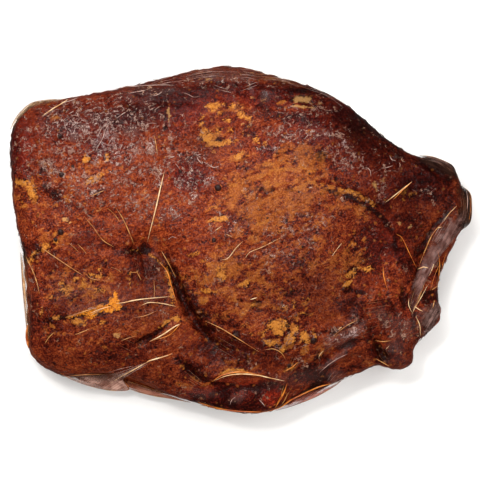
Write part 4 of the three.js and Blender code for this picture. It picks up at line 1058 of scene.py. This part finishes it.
# %% Material: clear vacuum film
FILM_SHIFT = (4.2, 1.0, 8)
FLECKS = ((52, 4.4), (-20, 3.2))
FLECK_STRETCH, FLECK_LINE = (1.6, 1, 1), (0.07, 0.012, 1.0)
CLUSTER_SIZE, BREAK_SIZE = 7, 2.4
CLUSTER_SHARE, HAZE_AND_GLINT_SHARE, FLECK_LEVEL = 0.8, 0.45, -0.6
FLECK_SPAN, FLECK_ALPHA = (0.48, 0.62), 0.6
SHEEN_SMEAR_SPAN, SHEEN_SMEAR_ALPHA, VEIL_AND_SHEEN_ALPHA = (0.72, 0.95), 0.14, 0.62
# colours of the painted glints, warm and cool, and of the veil, which on the folds is painted sheen
GLINT_FLECK_WARM, GLINT_FLECK_COOL, VEIL_AND_SHEEN_GREY = "#b5835a", "#b0918c", "#6b4a44"
FILM_RELIEF, FILM_GLOSS = {"Distance": 0.4 * MM, "Strength": 0.6}, {"Roughness": 0.22, "IOR": 1.5}


def clear_film(tree):
    """Clear film: flecks of painted glint drawn out in two directions, smears of painted sheen and a veil, partly
    painted sheen, by the film's own attributes.
    """
    plain, ragged = in_millimetres(tree, *FILM_SHIFT)
    haze_and_glints, veil_and_sheen = [add(tree, "Attribute", attribute_name=name, out="Fac") for name in ("haze_and_glints", "veil_and_sheen")]
    clusters = add(tree, "TexNoise", {"Vector": plain, "Scale": 1 / CLUSTER_SIZE, "Detail": 2.0})
    amount = add(tree, "Math", (clusters, CLUSTER_SHARE, FLECK_LEVEL), operation="MULTIPLY_ADD")
    amount = add(tree, "Math", (haze_and_glints, HAZE_AND_GLINT_SHARE, amount), operation="MULTIPLY_ADD")
    strokes = []
    for turn, size in FLECKS:
        drawn = add(tree, "Mapping", {"Vector": ragged, "Rotation": (0, 0, math.radians(turn)),
                                      "Scale": FLECK_STRETCH}, vector_type="TEXTURE")
        field = add(tree, "TexNoise", {"Vector": drawn, "Scale": 1 / size, "Detail": 1.0})
        strokes.append(crossing(tree, field, *FLECK_LINE))
    stroke = add(tree, "Math", strokes, operation="MAXIMUM")
    breaks = add(tree, "TexNoise", {"Vector": ragged, "Scale": 1 / BREAK_SIZE, "Detail": 1.0})
    breaks = add(tree, "Math", (breaks, amount), operation="ADD")
    broken, sheen_smears = [
        add(tree, "MapRange", {"Value": breaks, "From Min": low, "From Max": high, "To Max": alpha})
        for (low, high), alpha in ((FLECK_SPAN, FLECK_ALPHA), (SHEEN_SMEAR_SPAN, SHEEN_SMEAR_ALPHA))
    ]
    flecks = add(tree, "Math", (stroke, broken), operation="MULTIPLY")
    flecks = add(tree, "Math", (flecks, sheen_smears), operation="MAXIMUM")
    alpha = add(tree, "Math", (veil_and_sheen, VEIL_AND_SHEEN_ALPHA, flecks), operation="MULTIPLY_ADD", use_clamp=True)
    colour = add(tree, "Mix", {"Factor": haze_and_glints, "A": linear(GLINT_FLECK_WARM), "B": linear(GLINT_FLECK_COOL)}, "Result",
                 data_type="RGBA")
    colour = add(tree, "Mix", {"Factor": flecks, "A": linear(VEIL_AND_SHEEN_GREY), "B": colour}, "Result", data_type="RGBA")
    bump = add(tree, "Bump", {"Height": stroke, **FILM_RELIEF})
    return add(tree, "BsdfPrincipled", {"Base Color": colour, "Alpha": alpha, "Normal": bump, **FILM_GLOSS})


coat(film, "clear_vacuum_film", clear_film)

# %% Dropping places on to the film
def surface_tree(thing):
    """A tree of the object's faces for casting rays."""
    return BVHTree.FromObject(thing, bpy.context.evaluated_depsgraph_get())


FILM_TREE = surface_tree(film)
ABOVE = 100 * MM
DOWN = Vector((0, 0, -1))


def dropped(place, trees, above=0.0):
    """The highest place on some surfaces under a place in plan, lifted a little, or None beside them."""
    start = Vector((place.x, place.y, ABOVE))
    hits = [tree.ray_cast(start, DOWN)[0] for tree in trees]
    levels = [hit.z for hit in hits if hit]
    return Vector((place.x, place.y, max(levels) + above)) if levels else None


def smooth_line(corners, count):
    """Evenly shared points of a smooth curve through some corners in plan."""
    corners = [Vector((*plan(*corner), 0)) for corner in corners]
    ends = [2 * corners[0] - corners[1]] + corners + [2 * corners[-1] - corners[-2]]
    line = []
    for i in range(count):
        place = i / (count - 1) * (len(corners) - 1)
        k = min(int(place), len(corners) - 2)
        t = place - k
        a, b, c, d = ends[k:k + 4]
        line.append(0.5 * (2 * b + (c - a) * t + (2 * a - 5 * b + 4 * c - d) * t ** 2
                           + (3 * b - a - 3 * c + d) * t ** 3))
    return line


print("the film's top over the origin in mm:", round(dropped(Vector((0, 0, 0)), [FILM_TREE]).z / MM, 1))

# %% [markdown]
# ## Margins of loose film
#
# Where the pouch was wider than the meat, the film stands out as a flat margin, welded to itself. Each
# margin is bridged between a line on the meat and the line of its free edge, and ripples a little.

# %% Margins of film
# Each row holds the line on the meat, the free edge, the edge's level in mm or None on the meat, the
# share of the width from which the margin is dense, the turn of its streaks, their length and width in
# mm, its two colours, and its alpha at the clearest and densest.
MARGINS = {
    "front_left": (
        [(66, 376), (80, 374), (95, 373.5), (105, 374), (113, 373), (122, 370), (135, 365.5), (150, 360)],
        [(66, 378), (83, 384.5), (100, 389), (115, 391), (129, 389.5), (123, 380), (136, 370.5), (151, 361)],
        9.5, 0.55, 33, (45, 0.9), "#83503f", "#c69b8a", 0.55, 0.95,
    ),
    "front_strip": (
        [(122, 380), (135, 384), (150, 389), (165, 394), (180, 399.5), (190, 402)],
        [(128, 389), (140, 393), (155, 396.5), (168, 398.5), (181, 401), (191, 403)],
        9.5, 0.5, -18, (30, 0.9), "#87442f", "#a8745f", 0.85, 0.95,
    ),
    "front_right": (
        [(350, 378), (335, 383), (320, 388), (305, 393), (292, 400), (283, 405), (274, 409)],
        [(346, 376.5), (338, 384), (328, 390.5), (317, 396.5), (304, 402), (290, 407), (274, 411.5)],
        12.5, 0.7, 26, (12, 1.3), "#7a2417", "#bd7a6a", 0.35, 0.9,
    ),
    "left": (
        [(26, 252), (27, 270), (28, 290), (29.5, 310), (30.5, 325), (32, 341)],
        [(20.5, 252), (21.5, 268), (23, 290), (25, 310), (26.5, 327), (27.5, 341)],
        20.5, 1.0, -85, (25, 1.0), "#6a3518", "#cba077", 0.5, 1.0,
    ),
    "back_left": (
        [(13, 131), (18, 122), (25, 114.5), (34, 108), (48, 105), (66, 102)],
        [(10, 131), (14.5, 121), (21.5, 111.5), (32, 103.3), (48, 100), (67, 99)],
        24.5, 1.0, 40, (25, 1.2), "#84552f", "#d6b48c", 0.5, 0.95,
    ),
    "gather": (
        [(414, 160), (424, 165), (434, 172), (444, 177), (452, 183)],
        [(419, 155.5), (431, 156.5), (445, 161.5), (454, 168), (458, 184)],
        22.5, 0.6, -25, (25, 0.8), "#120504", "#452c22", 0.8, 1.0,
    ),
    "outer_lobe": (
        [(452, 184), (455, 194), (457, 206), (456, 218), (454, 228)],
        [(458, 184), (469, 192), (471.5, 203), (470, 222), (459, 232)],
        20.5, 0.6, 80, (25, 0.8), "#140706", "#472c20", 0.85, 1.0,
    ),
    "right_band": (
        [(456, 207), (448, 215), (437, 228), (430, 240), (424, 253), (418, 267), (412, 283), (408, 298),
          (411, 311)],
        [(467, 207), (468, 218), (459, 231), (449, 244), (439, 257), (430, 272), (423, 286), (416, 302),
          (413, 311)],
        None, 0.5, 58, (9, 1.7), "#42211b", "#836058", 0.45, 0.88,
    ),
    "pocket": (
        [(414, 308), (415, 316), (418, 324), (420, 332), (420, 340)],
        [(438, 301), (440, 309), (438, 318), (432, 328), (424, 338)],
        None, 0.5, 60, (12, 1.0), "#2f1a15", "#8a6a62", 0.5, 0.9,
    ),
}
print(len(MARGINS), "margins:", ", ".join(MARGINS))

# %% Margins as bridged sheets
SHEET_ROWS, COLUMNS_A_CORNER = 6, 6
CLEAR, BESIDE_LEVEL = 0.5 * MM, 10 * MM
RIPPLE_SIZE, RIPPLE_RISE = 9 * MM, 1.2 * MM
SHEET_THICKNESS = 0.15 * MM
END_SHARE, END_FALL, LEAST, WIDTH_FALL = 0.25, 0.7, 0.1, 1.3
TINY = 1e-9


def laid(line, free, lies):
    """A line's places on the film under it, or at a free level, also where no film is under it."""
    hits = [dropped(place, [FILM_TREE], CLEAR) if lies else None for place in line]
    return [hit or Vector((place.x, place.y, free)) for hit, place in zip(hits, line)]


def merging(points, inside, rim, dense_from):
    """How much a margin shows at each point: it merges with the film round the meat at its ends and inner line."""
    from_inside = np.linalg.norm(points[:, None] - inside, axis=2)
    from_rim = np.linalg.norm(points[:, None] - rim, axis=2)
    along = np.minimum(from_inside, from_rim).argmin(axis=1) / (len(inside) - 1)
    across = from_inside.min(axis=1) / (from_inside.min(axis=1) + from_rim.min(axis=1) + TINY)
    ends = np.clip(np.minimum(along, 1 - along) / END_SHARE, 0, 1) ** END_FALL
    return ends * np.clip(across / dense_from, LEAST, 1) ** WIDTH_FALL


def margin(name, inner, outer, level, dense_from):
    """A sheet of film between a line on the meat and its free edge, with its rim's points."""
    columns = COLUMNS_A_CORNER * len(inner)
    free = BESIDE_LEVEL if level is None else level * MM
    inside = laid(smooth_line(inner, columns), free, True)
    rim = laid(smooth_line(outer, columns), free, level is None)
    bm = bmesh.new()
    edges = []
    for line in (inside, rim):
        verts = [bm.verts.new(p) for p in line]
        edges += [bm.edges.new(pair) for pair in zip(verts, verts[1:])]
    bmesh.ops.bridge_loops(bm, edges=edges)
    across = [e for e in bm.edges if e not in edges]
    bmesh.ops.subdivide_edges(bm, edges=across, cuts=SHEET_ROWS - 1, use_grid_fill=True)
    for vert in bm.verts:
        ripple = noise.noise(vert.co / RIPPLE_SIZE) * RIPPLE_RISE
        beneath = dropped(vert.co, [FILM_TREE], CLEAR)
        vert.co.z = max(vert.co.z + ripple, beneath.z if beneath else 0)
    bmesh.ops.recalc_face_normals(bm, faces=bm.faces)
    sheet = new_object("margin_" + name, mesh_from(bm, "margin_" + name))
    write_attribute(sheet, "merging", merging(read(sheet, "co"), np.array(inside), np.array(rim), dense_from))
    modify(sheet, "SOLIDIFY", thickness=SHEET_THICKNESS, offset=0)
    return sheet, rim


print("sheets of", round(SHEET_THICKNESS / MM, 2), "mm in", SHEET_ROWS, "rows")

# %% [markdown]
# ## Loose film margin
#
# What it is: the film on its own, doubled. Against the dark meat it is a mauve-grey veil with fine
# streaks along the pull, and where meat juice has crept between its layers it is pink or brown.

# %% Material: loose film
STREAK_DEPTH, BLOTCH_SIZE = 30, 6 * MM
COLOUR_SPAN, ALPHA_SPAN = (0.75, 1.28), (0.8, 1.2)
LOOSE_RELIEF = {"Distance": 0.3 * MM, "Strength": 0.5}
LOOSE_GLOSS = {"Roughness": 0.25, "Specular IOR Level": 0.12}


def loose_film(tree, turn, stretch, shade, bright, clearest, densest):
    """Doubled film with streaks along the pull, see-through between them."""
    metres = add(tree, "TexCoord", out="Object")
    lengths = [length * MM for length in (*stretch, STREAK_DEPTH)]
    drawn = add(tree, "Mapping", {"Vector": metres, "Rotation": (0, 0, math.radians(turn)), "Scale": lengths},
                vector_type="TEXTURE")
    streaks = add(tree, "TexNoise", {"Vector": drawn, "Scale": 1.0, "Detail": 2.0, "Roughness": 0.6})
    blotches = add(tree, "TexNoise", {"Vector": metres, "Scale": 1 / BLOTCH_SIZE, "Detail": 2.0})
    mingled = add(tree, "Math", (streaks, blotches), operation="ADD")
    share, alpha = [
        add(tree, "MapRange", {"Value": mingled, "From Min": low, "From Max": high, "To Min": least, "To Max": most})
        for (low, high), least, most in ((COLOUR_SPAN, 0, 1), (ALPHA_SPAN, clearest, densest))
    ]
    shown = add(tree, "Attribute", attribute_name="merging", out="Fac")
    alpha = add(tree, "Math", (alpha, shown), operation="MULTIPLY")
    colour = add(tree, "Mix", {"Factor": share, "A": linear(shade), "B": linear(bright)}, "Result",
                 data_type="RGBA")
    bump = add(tree, "Bump", {"Height": streaks, **LOOSE_RELIEF})
    return add(tree, "BsdfPrincipled", {"Base Color": colour, "Alpha": alpha, "Normal": bump, **LOOSE_GLOSS})


print("blotches of", round(BLOTCH_SIZE / MM), "mm")

# %% The margins
RIM_HALF = 0.22 * MM
margins, rims = [], []
for name, (inner, outer, edge_level, dense_from, *look) in MARGINS.items():
    sheet, rim = margin(name, inner, outer, edge_level, dense_from)
    coat(sheet, "loose_film_" + name, loose_film, *look)
    margins.append(sheet)
    if edge_level:
        rims.append((rim, RIM_HALF))

# %% [markdown]
# ## Pleats as pieces of their own
#
# A pleat is a fold of film pinched to a ridge that catches the light as a thin line. A curve with a
# round bevel and a radius that dies out at both ends gives that in few steps. Each point of the curve
# is dropped on to the film from above, so the pleat lies on the surface from any side.

# %% Curves with a thickness that dies out
TIP, SWELL = 0.12, 0.6
SUNK, PLEAT_SHARE = -0.1 * MM, 0.68
POINTS_A_CORNER, FEWEST_POINTS = 4, 4
SHOWN_TREES = [FILM_TREE, *map(surface_tree, margins)]


def ridge_mesh(name, lines):
    """One mesh of many round ridges, each a list of points and a half thickness in metres."""
    data = bpy.data.curves.new(name, "CURVE")
    data.dimensions = "3D"
    data.bevel_depth = 1.0  # so that a point's radius is its half thickness in metres
    data.bevel_resolution = 1
    data.use_fill_caps = True
    for points, half in lines:
        spline = data.splines.new("POLY")
        spline.points.add(len(points) - 1)
        for i, (point, place) in enumerate(zip(spline.points, points)):
            point.co = (*place, 1)
            share = i / (len(points) - 1)
            point.radius = half * max(TIP, math.sin(math.pi * share) ** SWELL)
    curve = new_object(name, data)
    graph = bpy.context.evaluated_depsgraph_get()
    mesh = bpy.data.meshes.new_from_object(curve.evaluated_get(graph))
    bpy.data.objects.remove(curve)
    return new_object(name, mesh)


def pleats(name, listed):
    """Ridges on the film along the listed lines."""
    lines = []
    for corners, half in listed:
        places = smooth_line(corners, POINTS_A_CORNER * (len(corners) + 1))
        line = [place for place in [dropped(place, SHOWN_TREES, SUNK) for place in places] if place]
        if len(line) >= FEWEST_POINTS:
            lines.append((line, PLEAT_SHARE * half * MM))
    return ridge_mesh(name, lines)


pleat_pieces = {tint: pleats(tint + "_pleats", listed) for tint, listed in PLEATS.items()}
print("pleat faces:", sum(len(piece.data.polygons) for piece in pleat_pieces.values()))

# %% Pleats round the walls, which the photograph doesn't show, with angles in radians
HEART, FROM_AFAR = Vector((0, 0, 12 * MM)), 0.3
WALL_SEED, WALL_FANS, LINES_A_FAN = 7, 22, (2, 4)
FAN_SHIFT, LOWEST = (-0.4, 0.4), (-0.06, 0.03)
LINE_SHIFT, LINE_RISE, LEAN, BEND = (-0.02, 0.02), (0.06, 0.14), (-0.07, 0.07), (-0.015, 0.015)
WALL_HALF = (0.1, 0.26)


def direction(angle, rise):
    """The way that points out at an angle in plan and a rise over it."""
    return Vector((math.cos(angle) * math.cos(rise), math.sin(angle) * math.cos(rise), math.sin(rise)))


def wall_line(angle, low, high, lean, bend, count=14):
    """A line up the wall, from one rise to another as seen from the middle of the slab."""
    line = []
    for i in range(count):
        share = i / (count - 1)
        way = direction(angle + lean * share + bend * math.sin(math.pi * share), low + (high - low) * share)
        hit = FILM_TREE.ray_cast(HEART + FROM_AFAR * way, -way)[0]
        if hit:
            line.append(hit)
    return line


draw = random.Random(WALL_SEED)
wall_lines = []
for k in range(WALL_FANS):
    angle = 2 * math.pi * (k + draw.uniform(*FAN_SHIFT)) / WALL_FANS
    low = draw.uniform(*LOWEST)
    for _ in range(draw.randint(*LINES_A_FAN)):
        line = wall_line(angle + draw.uniform(*LINE_SHIFT), low, low + draw.uniform(*LINE_RISE),
                         draw.uniform(*LEAN), draw.uniform(*BEND))
        if len(line) >= FEWEST_POINTS:
            wall_lines.append((line, draw.uniform(*WALL_HALF) * MM))
wall_pleats = ridge_mesh("wall_pleats", wall_lines)
margin_rims = ridge_mesh("margin_rims", rims)
print(len(wall_lines), "pleats on the walls,", len(rims), "welded rims")

# %% [markdown]
# ## Film pleat, catching the light
#
# What it is: the same film, doubled and pinched. The fold scatters light along its length, so it looks
# cream where it is clean and gold where meat juice fills it. The cream and pale tints are painted
# highlights of the lit ridges, the gold and amber ones juice, with a painted glow in the amber rims, and
# the brown one painted shade.

# %% Material: pinched film
# cream and pale: painted highlights; gold: juice; amber: juice with a painted glow; brown: painted shade
PLEAT_TINTS = {
    "cream": ("#bd8550", "#ecc999"), "gold": ("#8f4f22", "#cd9250"), "amber": ("#9c430c", "#dd832c"),
    "brown": ("#4a2314", "#85522f"), "pale": ("#80564a", "#c4a598"),
}
WALL_TINTS, RIM_TINTS = ("#451f14", "#845640"), ("#7a3f16", "#b98a55")
SPECKLE_DEPTH = 0.3 * MM


def speckled(tree, size, detail, low, high, shade, bright, strength, gloss):
    """A surface whose colour runs between two by noise, with the same noise as its relief."""
    metres = add(tree, "TexCoord", out="Object")
    speckles = add(tree, "TexNoise", {"Vector": metres, "Scale": 1 / size, "Detail": detail})
    share = add(tree, "MapRange", {"Value": speckles, "From Min": low, "From Max": high})
    colour = add(tree, "Mix", {"Factor": share, "A": linear(shade), "B": linear(bright)}, "Result",
                 data_type="RGBA")
    bump = add(tree, "Bump", {"Height": speckles, "Distance": SPECKLE_DEPTH, "Strength": strength})
    return add(tree, "BsdfPrincipled", {"Base Color": colour, "Normal": bump, **gloss})


def pinched_film(tree, shade, bright):
    """A pleat whose colour runs between its two tints along its length: juice and clean film, painted highlight in
    the cream and pale tints, painted shade in the brown one.
    """
    return speckled(tree, size=5 * MM, detail=2.0, low=0.35, high=0.65, shade=shade, bright=bright,
                    strength=0.4, gloss={"Roughness": 0.3, "IOR": 1.5})


for tint, piece in pleat_pieces.items():
    coat(piece, "pinched_film_" + tint, pinched_film, *PLEAT_TINTS[tint])
coat(wall_pleats, "pinched_film_on_the_walls", pinched_film, *WALL_TINTS)
coat(margin_rims, "welded_edge", pinched_film, *RIM_TINTS)

# %% [markdown]
# ## Grains of spice
#
# Cracked pepper and coarse spice are pressed into the bark. The large grains lie where the photograph
# shows them, and fine ones are strewn by a seeded draw. Each is an icosphere with its corners pushed
# about, so that no two are alike.

# %% Spice: where the large grains lie, with their half size in mm
LARGE_GRAINS = [
    ((218, 188), 2.3), ((214, 240), 1.6), ((61, 137), 1.8), ((63, 175), 1.9), ((62, 232), 2.1), ((57, 240), 1.4),
    ((396, 157), 1.6), ((236, 334), 1.8), ((313, 340), 2.2), ((289, 365), 1.6), ((74, 167), 1.2),
    ((129, 273), 0.9), ((181, 172), 1.1), ((302, 247), 0.9),
]
SPICE_SEED, FINE_GRAINS = 19, 110
FINE_RISE, FINE_SPREAD, FINE_SIZE = (0.02, 1), ((-0.09, 0.09), (-0.06, 0.06)), (0.35, 0.8)
KNOBBLY, KNOBS_A_RADIUS, NOISE_STEP = 0.22, 1.3, 900
FLAT, SUNK_SHARE = 0.7, 0.15


def grain_places():
    """Rays towards the bark with a half size in mm: the large grains from above, fine ones from all round."""
    chosen = random.Random(SPICE_SEED)
    places = [(Vector((*plan(x, y), ABOVE)), DOWN, size) for (x, y), size in LARGE_GRAINS]
    for _ in range(FINE_GRAINS):
        way = direction(chosen.uniform(0, 2 * math.pi), math.asin(chosen.uniform(*FINE_RISE)))
        spread = Vector((*[chosen.uniform(*reach) for reach in FINE_SPREAD], 0))
        places.append((HEART + spread + FROM_AFAR * way, -way, chosen.uniform(*FINE_SIZE)))
    return places


def spice_mesh():
    """All grains in one mesh, half sunk into the bark under the film."""
    meat_tree = surface_tree(brisket)
    bm = bmesh.new()
    for start, way, size in grain_places():
        hit, normal, _, _ = meat_tree.ray_cast(start, way)
        if not hit:
            continue
        made = bmesh.ops.create_icosphere(bm, subdivisions=2, radius=size * MM)["verts"]
        for vert in made:
            vert.co *= 1 + KNOBBLY * noise.noise(vert.co / (size * MM) * KNOBS_A_RADIUS + hit * NOISE_STEP)
            vert.co.z *= FLAT
        turn = normal.to_track_quat("Z", "Y").to_matrix()
        bmesh.ops.rotate(bm, verts=made, cent=(0, 0, 0), matrix=turn)
        bmesh.ops.translate(bm, verts=made, vec=hit - normal * SUNK_SHARE * size * MM)
    return mesh_from(bm, "spice_grains")


spice = new_object("spice_grains", spice_mesh())
print("spice faces:", len(spice.data.polygons))

# %% Material: cracked pepper
def cracked_pepper(tree):
    """Near-black wrinkled husk with brown flecks."""
    return speckled(tree, size=0.8 * MM, detail=3.0, low=0.4, high=0.7, shade="#150706", bright="#3a1c15",
                    strength=0.8, gloss={"Roughness": 0.45, "Specular IOR Level": 0.2})


coat(spice, "cracked_pepper", cracked_pepper)

# %% [markdown]
# ## Riding on the frame
#
# The pack has one body. The meat, the film and what is on them stand for the one CAD node together.

# %% The pieces, attached to the root body over the hidden CAD node
PIECES = {
    "smoked_meat": [brisket],
    "vacuum_film": [film, *pleat_pieces.values(), wall_pleats, margin_rims, *margins],
    "spice": [spice],
}
for slot, things in PIECES.items():
    for thing in things:
        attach(thing, "root")
        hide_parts(PACK)
        thing.data.polygons.foreach_set("use_smooth", [True] * len(thing.data.polygons))
print({slot: len(things) for slot, things in PIECES.items()})

# %% The floor
FLOOR_HALF = 3.0


def white_paper(tree):
    """Matt white studio paper."""
    return add(tree, "BsdfPrincipled", {"Base Color": linear("#f4f2ef"), "Roughness": 0.9})


bm = bmesh.new()
bmesh.ops.create_grid(bm, x_segments=2, y_segments=2, size=FLOOR_HALF)
floor = new_object("studio_floor", mesh_from(bm, "studio_floor"))
coat(floor, "white_paper", white_paper)
floor.visible_glossy = False
